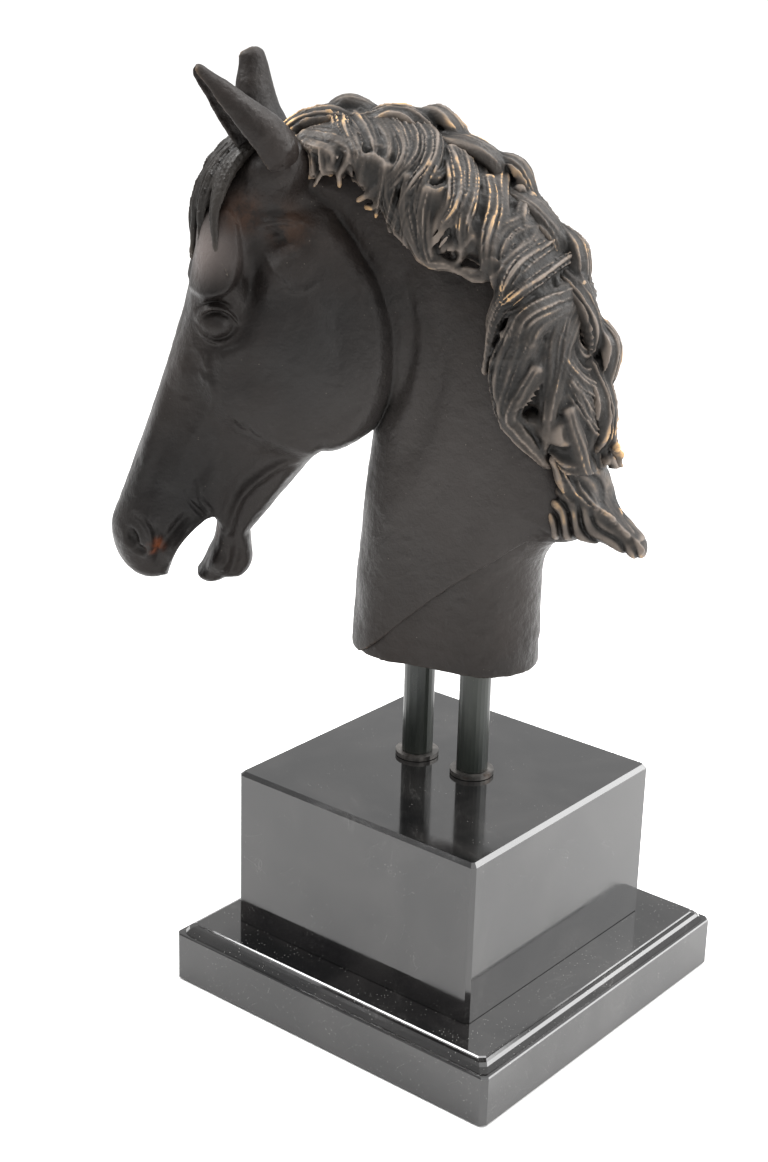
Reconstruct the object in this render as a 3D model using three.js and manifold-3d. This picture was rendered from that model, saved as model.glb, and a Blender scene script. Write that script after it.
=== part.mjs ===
// Horse bust in hollow bronze, carried by two bolted steel tubes on a stepped marble plinth.
// Millimetres, +Z up. The origin is the centre of the plinth's underside, where it stands.
// The horse faces -X and turns its head towards -Y.
import * as THREE from "three";
import { LoftGeometry } from "three/addons/geometries/LoftGeometry.js";
import { mergeVertices } from "three/addons/utils/BufferGeometryUtils.js";
import Module from "manifold-3d";

const wasm = await Module();
wasm.setup();

// ---- Driving dimensions ----
const FELT_THICKNESS = 1.5;
const FELT_MARGIN = 7;
const SLAB_SIDE = 268.5;
const SLAB_HEIGHT = 41.2;
const SLAB_LEDGE_DROP = 6.9;
const SLAB_LEDGE_WIDTH = 10.1;
const SLAB_CORNER = 3.5;
const BLOCK_SIDE = 200;
const BLOCK_HEIGHT = 114.3;
const BLOCK_CHAMFER = 2.6;
const BLOCK_CENTRE = new THREE.Vector2(-5.3, -1.6);
const GAP = 0.4;
const FIT_GAP = 0.6;
const BOLT_DIAMETER = 10;
const BOLT_HOLE = 12;
const RECESS_DIAMETER = 38;
const RECESS_DEPTH = 17;
const TUBE_DIAMETER = 21.3;
const TUBE_BORE = 16.1;
const COLLAR_DIAMETER = 30;
const COLLAR_THICKNESS = 3;
const WASHER_THICKNESS = 2.5;
const NUT_ACROSS_FLATS = 17;
const NUT_HEIGHT = 8;
const FRONT_TUBE = new THREE.Vector2(-33.9, 2.8);
const REAR_TUBE = new THREE.Vector2(12.4, 4.2);
const PLATE_THICKNESS = 6;
const SOCLE_BOTTOM = 238;
const SOCLE_WALL = 6;
const SOCLE_REVEAL = 2.4;
const SPIGOT_HEIGHT = 12;
const BRONZE_WALL = 5;
const HEM_FRONT_Z = 236;
const HEM_FRONT_U = -60;
const HEM_SLOPE = 0.78;
const HEM_LEVEL_U = 66;
const NECK_AXIS = new THREE.Vector2(-15.3, 5.4);
const NECK_YAW = THREE.MathUtils.degToRad(12);
const HEAD_YAW = THREE.MathUtils.degToRad(45);
const TURN_START = 30;
const TURN_END = -120;
const CREST_CENTRE = new THREE.Vector2(-60, 396);
const CREST_RADII = new THREE.Vector2(147, 176);
const POLL_ANGLE = 112;
const BED_STATIONS = 8;
const BED_END_ANGLE = 6;
const CREST_LOCK_COUNT = 11;
const CREST_LOCK_STEP = 9.8;
const DRAPE_COUNT = 6;
const DRAPE_START = 96;
const DRAPE_STEP = 13;
const FALL_COUNT = 14;
const FALL_START = 106;
const FALL_STEP = 7.2;
const FALL_HANG = 46;
const NECK_SIDE = 43;
const SIDES = 16;

const SLAB_TOP = FELT_THICKNESS + SLAB_HEIGHT;
const BLOCK_TOP = SLAB_TOP + BLOCK_HEIGHT;
const PLATE_UNDERSIDE = FELT_THICKNESS + SOCLE_BOTTOM + 7;
const TAU = Math.PI * 2;

// ---- Solids ----
// A closed geometry whose faces point out becomes a solid.
function solid(geometry) {
  const bare = new THREE.BufferGeometry();
  bare.setAttribute("position", geometry.getAttribute("position"));
  bare.setIndex(geometry.index);
  const merged = mergeVertices(bare, 1e-4);
  const kept = [];
  const index = merged.index.array;
  for (let i = 0; i < index.length; i += 3) {
    const [a, b, c] = [index[i], index[i + 1], index[i + 2]];
    if (a !== b && b !== c && c !== a) kept.push(a, b, c);
  }
  return new wasm.Manifold(
    new wasm.Mesh({
      numProp: 3,
      vertProperties: merged.attributes.position.array,
      triVerts: new Uint32Array(kept),
    }),
  );
}

// The solid as a three.js geometry with flat shading between sharp edges.
function geometryOf(made) {
  const mesh = made.getMesh();
  const geometry = new THREE.BufferGeometry();
  geometry.setAttribute("position", new THREE.BufferAttribute(mesh.vertProperties.slice(), 3));
  geometry.setIndex(new THREE.BufferAttribute(new Uint32Array(mesh.triVerts), 1));
  geometry.computeVertexNormals();
  return geometry;
}

// The largest connected body of a solid.
function mainBody(made) {
  const bodies = made.decompose();
  bodies.sort((a, b) => b.volume() - a.volume());
  return bodies[0];
}

function union(solids) {
  return solids.reduce((all, one) => all.add(one));
}

function cylinder(diameter, bottom, top, centre, sides = 24) {
  const geometry = new THREE.CylinderGeometry(diameter / 2, diameter / 2, top - bottom, sides);
  geometry.rotateX(Math.PI / 2);
  geometry.translate(centre.x, centre.y, (top + bottom) / 2);
  return solid(geometry);
}

function ring(outer, inner, bottom, top, centre, sides = 24) {
  return cylinder(outer, bottom, top, centre, sides).subtract(
    cylinder(inner, bottom - 1, top + 1, centre, sides),
  );
}

function hexNut(bottom, centre) {
  const acrossCorners = NUT_ACROSS_FLATS / Math.cos(Math.PI / 6);
  const body = cylinder(acrossCorners, bottom, bottom + NUT_HEIGHT, centre, 6);
  const bore = cylinder(BOLT_DIAMETER + 2 * GAP, bottom - 1, bottom + NUT_HEIGHT + 1, centre, 20);
  return body.subtract(bore);
}

// A square outline with cut corners, at one height.
function squareRing(side, corner, z, centre) {
  const h = side / 2;
  const c = h - corner;
  const outline = [[h, -c], [h, c], [c, h], [-c, h], [-h, c], [-h, -c], [-c, -h], [c, -h]];
  return outline.map(([x, y]) => new THREE.Vector3(centre.x + x, centre.y + y, z));
}

// Sections run counterclockwise as seen from the end of the loft.
function loft(rings) {
  const middle = (points) =>
    points.reduce((sum, p) => sum.add(p), new THREE.Vector3()).divideScalar(points.length);
  const [first, next] = rings;
  const centre = middle(first);
  const facing = new THREE.Vector3();
  first.forEach((p, i) => {
    const q = first[(i + 1) % first.length];
    facing.add(p.clone().sub(centre).cross(q.clone().sub(centre)));
  });
  const forwards = facing.dot(middle(next).sub(centre)) > 0;
  const sections = forwards ? rings : rings.map((points) => [...points].reverse());
  return solid(new LoftGeometry(sections, { capStart: true, capEnd: true }));
}

// Smooth skin through a few rings: each ring point follows a spline from ring to ring.
function smoothLoft(rings, steps) {
  const strands = rings[0].map(
    (_, i) => new THREE.CatmullRomCurve3(rings.map((r) => r[i]), false, "catmullrom", 0.5),
  );
  const rows = [];
  const count = (rings.length - 1) * steps;
  for (let j = 0; j <= count; j += 1) rows.push(strands.map((s) => s.getPoint(j / count)));
  return turnedLoft(rows);
}

// ---- The turn of the neck ----
// The bust is laid out straight: u runs from the nose to the mane, v is sideways, z is height.
// Its plan line is then bent, so the head looks round towards the horse's left.
function yawAt(u) {
  const t = THREE.MathUtils.smoothstep(TURN_START - u, 0, TURN_START - TURN_END);
  return NECK_YAW + (HEAD_YAW - NECK_YAW) * t;
}
function walkPlan(length) {
  const stations = [NECK_AXIS.clone()];
  const step = Math.sign(length);
  for (let k = 0; k < Math.abs(length); k += 1) {
    const yaw = yawAt((k + 0.5) * step);
    const last = stations[k];
    stations.push(new THREE.Vector2(last.x + step * Math.cos(yaw), last.y + step * Math.sin(yaw)));
  }
  return stations;
}
const planAhead = walkPlan(-300);
const planBehind = walkPlan(300);
function turned({ x: u, y: v, z }) {
  const stations = u < 0 ? planAhead : planBehind;
  const i = Math.min(Math.floor(Math.abs(u)), stations.length - 2);
  const foot = stations[i].clone().lerp(stations[i + 1], Math.abs(u) - i);
  const yaw = yawAt(u);
  return new THREE.Vector3(
    foot.x - v * Math.sin(yaw),
    foot.y + v * Math.cos(yaw),
    z + FELT_THICKNESS,
  );
}
function turnedLoft(rings) {
  return loft(rings.map((points) => points.map(turned)));
}

// ---- Sections of the horse ----
// Each section is [front u, front z, rear u, rear z, half width front, middle, rear].
const NECK = [
  [-64, 226, 70, 226, 30, 40, 34],
  [-64.5, 250, 70, 250, 30, 40, 34],
  [-63, 275, 69, 275, 29, 40, 33],
  [-61, 305, 76, 303, 28, 40, 30],
  [-59, 335, 98, 333, 27, 40, 24],
  [-56, 368, 92, 370, 26, 39, 21],
  [-52, 405, 86, 412, 26, 38, 19],
  [-50, 442, 78, 452, 26, 37, 17],
  [-58, 476, 62, 494, 27, 36, 16],
  [-78, 505, 34, 535, 27, 35, 16],
  [-104, 528, -12, 560, 26, 33, 17],
  [-122, 552, -64, 573, 22, 28, 18],
];
const SOCLE = [
  [-64, 226, 70, 226, 30, 40, 34],
  [-64.5, 250, 70.5, 250, 30, 40, 34],
  [-63, 275, 69, 275, 29, 39, 33],
  [-61, 305, 68, 303, 28, 38, 32],
  [-60, 350, 69, 350, 27, 37, 31],
];
const HEAD = [
  [-146, 573, -112, 568, 13, 17, 13],
  [-157, 558, -84, 541, 25, 31, 27],
  [-164, 531, -60, 502, 31, 40, 31],
  [-171, 502, -46, 466, 34, 45, 32],
  [-178, 470, -38, 428, 33, 47, 33],
  [-187, 438, -46, 396, 29, 43, 32],
  [-197, 407, -76, 371, 24, 36, 27],
  [-208, 375, -110, 345, 20, 30, 23],
  [-217, 350, -134, 325, 19, 26, 20],
];
const MUZZLE = [
  [-200, 398, -130, 376, 17, 26, 18],
  [-213, 362, -146, 341, 18, 26, 20],
  [-222, 338, -164, 324, 20, 26, 20],
  [-226, 319, -177, 311, 21, 26, 19],
  [-221, 299, -184, 295, 19, 23, 17],
  [-208, 288, -189, 288, 12, 15, 11],
];
const JAW = [
  [-140, 372, -100, 358, 12, 18, 15],
  [-150, 346, -119, 336, 14, 18, 14],
  [-155, 326, -132, 318, 14, 18, 14],
  [-159, 308, -133, 300, 14, 18, 15],
  [-164, 294, -144, 285, 13, 16, 13],
  [-170, 287, -160, 281, 8, 10, 8],
];

function sectionRing([fu, fz, ru, rz, front, middle, rear], grow = 0) {
  const centre = new THREE.Vector2((fu + ru) / 2, (fz + rz) / 2);
  const half = new THREE.Vector2((fu - ru) / 2, (fz - rz) / 2);
  const length = half.length();
  const points = [];
  for (let i = 0; i < SIDES; i += 1) {
    const c = Math.cos((i / SIDES) * TAU);
    const s = Math.sin((i / SIDES) * TAU);
    const end = c > 0 ? front : rear;
    const width = middle + (end - middle) * Math.abs(c) ** 1.5 + grow;
    const along = (c * (length + grow)) / length;
    const side = Math.sign(s) * Math.abs(s) ** 0.85;
    points.push(
      new THREE.Vector3(centre.x + half.x * along, side * width, centre.y + half.y * along),
    );
  }
  return points;
}

// A limb skins its sections; growing it also pushes its two ends outwards.
function limb(sections, steps, grow = 0) {
  const rings = sections.map((s) => sectionRing(s, grow));
  const pushEnd = (end, inner) => {
    const [fu, fz, ru, rz] = sections[end];
    const [nfu, nfz, nru, nrz] = sections[inner];
    const away = new THREE.Vector3(fu + ru - nfu - nru, 0, fz + rz - nfz - nrz).setLength(grow);
    rings[end].forEach((p) => p.add(away));
  };
  if (grow > 0) {
    pushEnd(0, 1);
    pushEnd(sections.length - 1, sections.length - 2);
  }
  return smoothLoft(rings, steps);
}

function ellipsoid(centre, radii, tilt, grow, detail = 12) {
  const geometry = new THREE.SphereGeometry(1, detail, Math.round(detail * 0.6));
  geometry.scale(...radii.map((r) => r + grow));
  geometry.rotateY(tilt);
  geometry.translate(...centre);
  const position = geometry.getAttribute("position");
  const point = new THREE.Vector3();
  for (let i = 0; i < position.count; i += 1) {
    const { x, y, z } = turned(point.fromBufferAttribute(position, i));
    position.setXYZ(i, x, y, z);
  }
  return solid(geometry);
}

// A tapering strand of hair: a flattened section swept along a spline from root to tip.
function strand(points, width, thickness, grow = 0, steps = 5, sides = 6) {
  const path = new THREE.CatmullRomCurve3(points.map((p) => new THREE.Vector3(...p)));
  const rings = [];
  for (let j = 0; j <= steps; j += 1) {
    const t = j / steps;
    const tangent = path.getTangent(t);
    const endPush = (j === steps) - (j === 0);
    const centre = path.getPoint(t).addScaledVector(tangent, endPush * grow);
    const outward = centre.clone().sub(nearestCore(centre));
    outward.addScaledVector(tangent, -outward.dot(tangent)).normalize();
    const across = new THREE.Vector3().crossVectors(tangent, outward).normalize();
    const fullness = 0.25 + 0.75 * Math.sin(Math.PI * (0.22 + 0.73 * t));
    const a = (width / 2) * fullness + grow;
    const b = (thickness / 2) * fullness + grow;
    const section = [];
    for (let i = 0; i < sides; i += 1) {
      const angle = (i / sides) * TAU;
      section.push(
        centre
          .clone()
          .addScaledVector(across, a * Math.cos(angle))
          .addScaledVector(outward, b * Math.sin(angle)),
      );
    }
    rings.push(section);
  }
  return turnedLoft(rings);
}

// The middle line of the neck and skull, from which hair lies outwards: [u, z].
const CORE_LINE = [[0, 230], [10, 340], [15, 420], [0, 475], [-40, 510], [-85, 520], [-120, 490]];
const corePoints = CORE_LINE.map(([u, z]) => new THREE.Vector3(u, 0, z));
function nearestCore(point) {
  const feet = corePoints.slice(1).map((end, i) => {
    const segment = new THREE.Line3(corePoints[i], end);
    return segment.closestPointToPoint(point, true, new THREE.Vector3());
  });
  feet.sort((p, q) => p.distanceTo(point) - q.distanceTo(point));
  return feet[0];
}

// Everything above (1) or below (-1) the neck's hem: it climbs from the front of the neck
// and runs level under the withers.
function hemHalf(offset, side) {
  const stations = [-260, -200, -150, -120, -90, -70, -50, -30, -10, 10, 30, HEM_LEVEL_U, 140];
  const rings = stations.map((u) => {
    const near = HEM_FRONT_Z + HEM_SLOPE * (Math.min(u, HEM_LEVEL_U) - HEM_FRONT_U) + offset;
    const far = side > 0 ? 700 : 0;
    return [
      [-75, near],
      [75, near],
      [75, far],
      [-75, far],
    ].map(([v, z]) => new THREE.Vector3(u, v, z));
  });
  return turnedLoft(rings);
}

function floorCut(z) {
  const geometry = new THREE.BoxGeometry(600, 400, 200);
  geometry.translate(0, 0, z + FELT_THICKNESS - 100);
  return solid(geometry);
}

// ---- Head casting ----
const EYE = [-157, 46, 461];
const JOWL = [-88, 27, 438];
const NOSTRIL = [-214, 25, 312];
const bothSides = (make) => [make(-1), make(1)];
function headForm(grow) {
  const eyeballs = bothSides((side) =>
    ellipsoid([EYE[0], side * (EYE[1] - 9), EYE[2]], [14, 12, 10.5], 0.15, grow),
  );
  const brows = bothSides((side) =>
    ellipsoid([EYE[0] + 1, side * (EYE[1] - 11), EYE[2] + 11], [17, 10, 5.5], -0.2, grow),
  );
  const jowls = bothSides((side) =>
    ellipsoid([JOWL[0], side * JOWL[1], JOWL[2]], [50, 18, 62], 0.35, grow, 16),
  );
  const limbs = [limb(NECK, 1, grow), limb(HEAD, 2, grow), limb(MUZZLE, 2, grow), limb(JAW, 1, grow)];
  return union([...limbs, ...eyeballs, ...brows, ...jowls]);
}
const nostrils = bothSides((side) =>
  ellipsoid([NOSTRIL[0], side * NOSTRIL[1], NOSTRIL[2]], [5.5, 7, 9.5], 0.3, 0, 10),
);
const coreNeck = limb(NECK.slice(0, -1), 1, -BRONZE_WALL);
const coreHead = limb(HEAD.slice(2, 7), 1, -BRONZE_WALL - 1.5);
const coreSkull = limb(HEAD.slice(1, 3), 1, -BRONZE_WALL - 2);
const headBody = mainBody(
  headForm(0)
    .subtract(coreNeck)
    .subtract(coreHead)
    .subtract(coreSkull)
    .subtract(union(nostrils))
    .intersect(hemHalf(GAP, 1)),
);

// ---- Socle under the hem ----
const socleOuter = limb(SOCLE, 1, -SOCLE_REVEAL).intersect(hemHalf(-GAP, -1));
const spigot = limb(SOCLE, 1, -BRONZE_WALL - 2 * GAP).intersect(
  hemHalf(SPIGOT_HEIGHT, -1),
);
const socleCore = limb(SOCLE, 1, -BRONZE_WALL - SOCLE_WALL);
const socleBody = mainBody(
  socleOuter.add(spigot).subtract(socleCore).subtract(floorCut(SOCLE_BOTTOM)),
);
const platePlan = limb(SOCLE.slice(0, 3), 1, -BRONZE_WALL - SOCLE_WALL - GAP);
const plateBody = mainBody(
  platePlan
    .subtract(floorCut(SOCLE_BOTTOM + 7))
    .intersect(floorCut(SOCLE_BOTTOM + 7 + PLATE_THICKNESS)),
);

// ---- Ears ----
// Each ear is [centre u, v, z, half width, half depth] from root to tip, scooped out in front.
const NEAR_EAR = [
  [-124, -25, 560, 17, 12],
  [-131, -29, 572, 17.5, 12],
  [-141, -32, 585, 15, 10.5],
  [-152, -34, 598, 11.5, 8],
  [-161, -34, 609, 7.5, 5.5],
  [-167, -33, 616, 3.5, 3],
];
const FAR_EAR = [
  [-124, 25, 560, 16, 12],
  [-127, 28, 573, 16.5, 12],
  [-131, 31, 588, 15, 10.5],
  [-134, 33, 602, 12.5, 8.5],
  [-136, 34, 613, 9, 6.5],
  [-138, 34, 621, 4, 3.5],
];
function earShape(sections, scale, slide) {
  const centres = sections.map(([u, v, z]) => new THREE.Vector3(u, v, z));
  const path = new THREE.CatmullRomCurve3(centres);
  const front = new THREE.Vector3(-0.75, Math.sign(sections[0][1]) * 0.35, -0.35).normalize();
  const rings = sections.map(([, , , width, depth], i) => {
    const tangent = path.getTangent(i / (sections.length - 1));
    const ahead = front.clone().addScaledVector(tangent, -front.dot(tangent)).normalize();
    const across = new THREE.Vector3().crossVectors(tangent, ahead);
    const points = [];
    for (let k = 0; k < 12; k += 1) {
      const angle = (k / 12) * TAU;
      points.push(
        centres[i]
          .clone()
          .addScaledVector(ahead, slide * depth + scale * depth * Math.cos(angle))
          .addScaledVector(across, scale * width * Math.sin(angle)),
      );
    }
    return points;
  });
  return smoothLoft(rings, 1);
}
function ear(sections) {
  const scoop = earShape(sections.slice(1, -1), 0.62, 0.75);
  return mainBody(earShape(sections, 1, 0).subtract(scoop));
}
const earLeftWhole = ear(NEAR_EAR);
const earRightWhole = ear(FAR_EAR);

// ---- Hair ----
// The crest of the neck is an arc of an ellipse. Hair is set out from it: the angle falls from
// the poll to the withers, and the offset is measured outwards from the arc.
function onCrest(degrees, offset, sideways) {
  const angle = THREE.MathUtils.degToRad(degrees);
  return [
    CREST_CENTRE.x + (CREST_RADII.x + offset) * Math.cos(angle),
    sideways,
    CREST_CENTRE.y + (CREST_RADII.y + offset) * Math.sin(angle),
  ];
}
// A strand is [points [u, v, z] from root to tip, width, thickness].
const FORELOCK = [
  [[[-118, -4, 576], [-138, -9, 577], [-156, -15, 560], [-166, -20, 536], [-165, -26, 512]], 16, 12],
  [[[-118, 4, 576], [-140, 4, 578], [-160, 5, 558], [-170, 5, 532], [-171, 2, 504]], 18, 12],
  [[[-118, -12, 574], [-134, -20, 573], [-149, -28, 556], [-157, -33, 532], [-155, -39, 509]], 15, 11],
  [[[-118, 12, 574], [-134, 18, 573], [-151, 25, 556], [-160, 28, 532], [-163, 26, 508]], 16, 11],
  [[[-116, -18, 572], [-128, -29, 565], [-139, -37, 546], [-141, -42, 524], [-136, -44, 504]], 13, 10],
  [[[-116, 18, 572], [-128, 28, 565], [-140, 34, 546], [-146, 38, 524], [-146, 38, 506]], 13, 10],
];
// Locks along the top follow the crest, each overlapping the next.
const CREST_LOCKS = Array.from({ length: CREST_LOCK_COUNT }, (_, k) => {
  const start = POLL_ANGLE - CREST_LOCK_STEP * k;
  const lean = k % 2 ? 3 : -5;
  const points = [
    onCrest(start, 8, 0),
    onCrest(start - 7, 12, lean),
    onCrest(start - 14, 11, lean),
    onCrest(start - 20, 3, 2 * lean),
  ];
  return [points, 24, 17];
});
// Locks draping the far side of the neck.
const DRAPE_LOCKS = Array.from({ length: DRAPE_COUNT }, (_, k) => {
  const start = DRAPE_START - DRAPE_STEP * k;
  const points = [
    onCrest(start, 2, 13),
    onCrest(start - 5, -8, 25),
    onCrest(start - 8, -24, 31),
    onCrest(start - 10 - k, -42, 34),
  ];
  return [points, 22, 12];
});
// Locks falling on the near side: they roll over the crest, then hang.
const FALL_LOCKS = Array.from({ length: FALL_COUNT }, (_, k) => {
  const start = FALL_START - FALL_STEP * k;
  const hang = Math.min(16 + 15 * k, FALL_HANG) - Math.max(k - 10, 0) * 8;
  const reach = k < 11 ? NECK_SIDE : NECK_SIDE - 5;
  const points = [
    onCrest(start, 6, -10),
    onCrest(start - 8, 4, -29),
    onCrest(start - 12, -0.3 * hang, 3 - reach),
    onCrest(start - 10 - 0.5 * k, -hang, -reach),
  ];
  return k === 0 ? [points, 20, 14] : [points, 27, 16];
});
const WITHERS = [
  [[[82, -18, 384], [94, -26, 368], [110, -30, 352], [136, -30, 340]], 24, 17],
  [[[84, -2, 388], [98, -8, 370], [112, -16, 354], [137, -26, 342]], 24, 17],
  [[[86, 12, 384], [96, 12, 366], [106, 6, 352], [122, -6, 342]], 24, 16],
  [[[74, -28, 380], [82, -34, 364], [92, -36, 350], [110, -34, 338]], 20, 14],
];
function hair(locks, grow = 0) {
  return union(locks.map(([points, width, thickness]) => strand(points, width, thickness, grow)));
}

const skin = headForm(FIT_GAP);
// The bed runs along the crest under the hair, thinner at the poll.
function crestBed(grow) {
  const rings = [];
  for (let i = 0; i < BED_STATIONS; i += 1) {
    const t = i / (BED_STATIONS - 1);
    const filled = Math.min(3 * t, 1);
    const degrees = THREE.MathUtils.lerp(POLL_ANGLE, BED_END_ANGLE, t);
    const points = [];
    for (let k = 0; k < 8; k += 1) {
      const angle = (k / 8) * TAU;
      const out = (9 + 3 * filled + grow) * Math.sin(angle);
      const side = (12 + 6 * filled + grow) * Math.cos(angle);
      points.push(new THREE.Vector3(...onCrest(degrees, 8 * (1 - t) ** 3 + out, side)));
    }
    rings.push(points);
  }
  return smoothLoft(rings, 2);
}
const CREST = [...CREST_LOCKS, ...DRAPE_LOCKS];
const crestBody = mainBody(crestBed(0).add(hair(CREST)).subtract(skin));
const crestKeepOut = crestBed(FIT_GAP).add(hair(CREST, FIT_GAP));
const fallBody = mainBody(hair(FALL_LOCKS).subtract(crestKeepOut).subtract(skin));
const fallKeepOut = hair(FALL_LOCKS, FIT_GAP);
const withersBody = mainBody(
  hair(WITHERS).subtract(skin).subtract(crestKeepOut).subtract(fallKeepOut),
);
const forelockBody = mainBody(hair(FORELOCK).subtract(skin).subtract(crestKeepOut));
const hairKeepOut = union([crestKeepOut, fallKeepOut, hair(FORELOCK, FIT_GAP)]);
const earLeftBody = mainBody(earLeftWhole.subtract(skin).subtract(hairKeepOut));
const earRightBody = mainBody(earRightWhole.subtract(skin).subtract(hairKeepOut));

// ---- Plinth ----
const slabProfile = [
  [0, 0],
  [0, SLAB_HEIGHT - SLAB_LEDGE_DROP - 0.8],
  [0.8, SLAB_HEIGHT - SLAB_LEDGE_DROP],
  [3.4, SLAB_HEIGHT - SLAB_LEDGE_DROP],
  [4.1, SLAB_HEIGHT - SLAB_LEDGE_DROP + 1.2],
  [5.4, SLAB_HEIGHT - SLAB_LEDGE_DROP + 3.3],
  [7.2, SLAB_HEIGHT - SLAB_LEDGE_DROP + 4.9],
  [9.2, SLAB_HEIGHT - SLAB_LEDGE_DROP + 5.7],
  [9.2, SLAB_HEIGHT - 0.5],
  [SLAB_LEDGE_WIDTH, SLAB_HEIGHT],
];
const origin = new THREE.Vector2(0, 0);
const slabBody = loft(
  slabProfile.map(([inset, z]) =>
    squareRing(SLAB_SIDE - 2 * inset, SLAB_CORNER, FELT_THICKNESS + z, origin),
  ),
);
const blockBody = loft([
  squareRing(BLOCK_SIDE, BLOCK_CHAMFER, SLAB_TOP + GAP, BLOCK_CENTRE),
  squareRing(BLOCK_SIDE, BLOCK_CHAMFER, BLOCK_TOP - BLOCK_CHAMFER, BLOCK_CENTRE),
  squareRing(BLOCK_SIDE - 2 * BLOCK_CHAMFER, BLOCK_CHAMFER * 0.6, BLOCK_TOP, BLOCK_CENTRE),
]);
const feltSide = SLAB_SIDE - 2 * FELT_MARGIN;
const feltBody = loft([
  squareRing(feltSide, SLAB_CORNER, 0, origin),
  squareRing(feltSide, SLAB_CORNER, FELT_THICKNESS - GAP, origin),
]);
const tubes = [FRONT_TUBE, REAR_TUBE];
const boltHoles = union(tubes.map((at) => cylinder(BOLT_HOLE, -10, 400, at, 24)));
const recesses = union(
  tubes.map((at) => cylinder(RECESS_DIAMETER, -10, FELT_THICKNESS + RECESS_DEPTH, at)),
);

// ---- Materials ----
const marble = new THREE.MeshStandardMaterial({ color: 0x17171a, roughness: 0.12, metalness: 0 });
const felt = new THREE.MeshStandardMaterial({ color: 0x1c2a20, roughness: 0.95, metalness: 0 });
const bronze = new THREE.MeshStandardMaterial({ color: 0x3a322c, roughness: 0.5, metalness: 0.75 });
const hairBronze = new THREE.MeshStandardMaterial({
  color: 0x5d5249,
  roughness: 0.55,
  metalness: 0.7,
});
const tubePaint = new THREE.MeshStandardMaterial({
  color: 0x1c211f,
  roughness: 0.4,
  metalness: 0.3,
});
const zinc = new THREE.MeshStandardMaterial({ color: 0x8d9092, roughness: 0.4, metalness: 0.9 });
const steel = new THREE.MeshStandardMaterial({ color: 0x4a4c4e, roughness: 0.6, metalness: 0.8 });

// ---- Scene graph ----
const statue = new THREE.Group();
statue.name = "horse_statue";
const plinth = new THREE.Group();
const mounting = new THREE.Group();
const bust = new THREE.Group();
statue.add(plinth, mounting, bust);

function place(group, name, geometry, material) {
  const mesh = new THREE.Mesh(geometry, material);
  mesh.name = name;
  group.add(mesh);
}

place(plinth, "base_felt", geometryOf(feltBody), felt);
place(
  plinth,
  "plinth_slab",
  geometryOf(slabBody.subtract(boltHoles).subtract(recesses)),
  marble,
);
place(plinth, "plinth_block", geometryOf(blockBody.subtract(boltHoles)), marble);

const plate = plateBody.subtract(boltHoles);
const collarTop = BLOCK_TOP + GAP + COLLAR_THICKNESS;
const recessTop = FELT_THICKNESS + RECESS_DEPTH - GAP;
const lowerNutBottom = recessTop - WASHER_THICKNESS - GAP - NUT_HEIGHT;
const plateTop = PLATE_UNDERSIDE + PLATE_THICKNESS;
[
  ["front", FRONT_TUBE],
  ["rear", REAR_TUBE],
].forEach(([where, at]) => {
  const bore = BOLT_DIAMETER + 2 * GAP;
  const studTop = plateTop + NUT_HEIGHT + 6;
  place(
    mounting,
    `stud_${where}`,
    geometryOf(cylinder(BOLT_DIAMETER, lowerNutBottom - 2, studTop, at, 20)),
    zinc,
  );
  place(
    mounting,
    `tube_${where}`,
    geometryOf(ring(TUBE_DIAMETER, TUBE_BORE, collarTop + GAP, PLATE_UNDERSIDE - GAP, at)),
    tubePaint,
  );
  place(
    mounting,
    `collar_washer_${where}`,
    geometryOf(ring(COLLAR_DIAMETER, bore, BLOCK_TOP + GAP, collarTop, at)),
    tubePaint,
  );
  place(
    mounting,
    `lower_washer_${where}`,
    geometryOf(ring(COLLAR_DIAMETER, bore, recessTop - WASHER_THICKNESS, recessTop, at)),
    zinc,
  );
  place(mounting, `lower_nut_${where}`, geometryOf(hexNut(lowerNutBottom, at)), zinc);
  place(mounting, `upper_nut_${where}`, geometryOf(hexNut(plateTop + GAP, at)), zinc);
});
place(mounting, "armature_plate", geometryOf(plate), steel);

place(bust, "neck_socle", geometryOf(socleBody), bronze);
place(bust, "head_casting", geometryOf(headBody), bronze);
place(bust, "ear_left", geometryOf(earLeftBody), bronze);
place(bust, "ear_right", geometryOf(earRightBody), bronze);
place(bust, "forelock", geometryOf(forelockBody), hairBronze);
place(bust, "mane_crest", geometryOf(crestBody), hairBronze);
place(bust, "mane_fall", geometryOf(fallBody), hairBronze);
place(bust, "withers_lock", geometryOf(withersBody), hairBronze);

export default statue;
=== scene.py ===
import math
import bpy
import numpy as np
import openvdb
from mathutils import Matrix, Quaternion, Vector


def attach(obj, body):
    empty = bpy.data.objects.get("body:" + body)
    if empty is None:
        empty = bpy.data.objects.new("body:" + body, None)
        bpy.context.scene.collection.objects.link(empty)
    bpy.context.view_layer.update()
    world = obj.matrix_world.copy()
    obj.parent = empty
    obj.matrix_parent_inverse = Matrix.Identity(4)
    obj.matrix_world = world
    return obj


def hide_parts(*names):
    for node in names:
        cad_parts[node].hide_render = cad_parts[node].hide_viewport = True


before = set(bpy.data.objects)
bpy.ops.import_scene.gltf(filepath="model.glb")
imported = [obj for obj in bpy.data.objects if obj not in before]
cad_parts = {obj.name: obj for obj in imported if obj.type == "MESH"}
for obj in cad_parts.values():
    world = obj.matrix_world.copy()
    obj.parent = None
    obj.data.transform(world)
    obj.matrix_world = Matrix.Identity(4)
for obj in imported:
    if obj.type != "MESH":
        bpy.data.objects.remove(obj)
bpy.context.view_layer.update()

# ---------------- sizes in millimetres
FAR = 5.0  # a field says nothing further than this from a surface
FINE = 1.25  # cell of the smooth pieces
FINE_HAIR = 1.0  # cell of the ears and the hair
FACING_STEP = 0.6  # cells from a surface point to each sample of its slope
RIDGE_ROUNDING = 0.15
SWEEP_SPACING = 2.0
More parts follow.
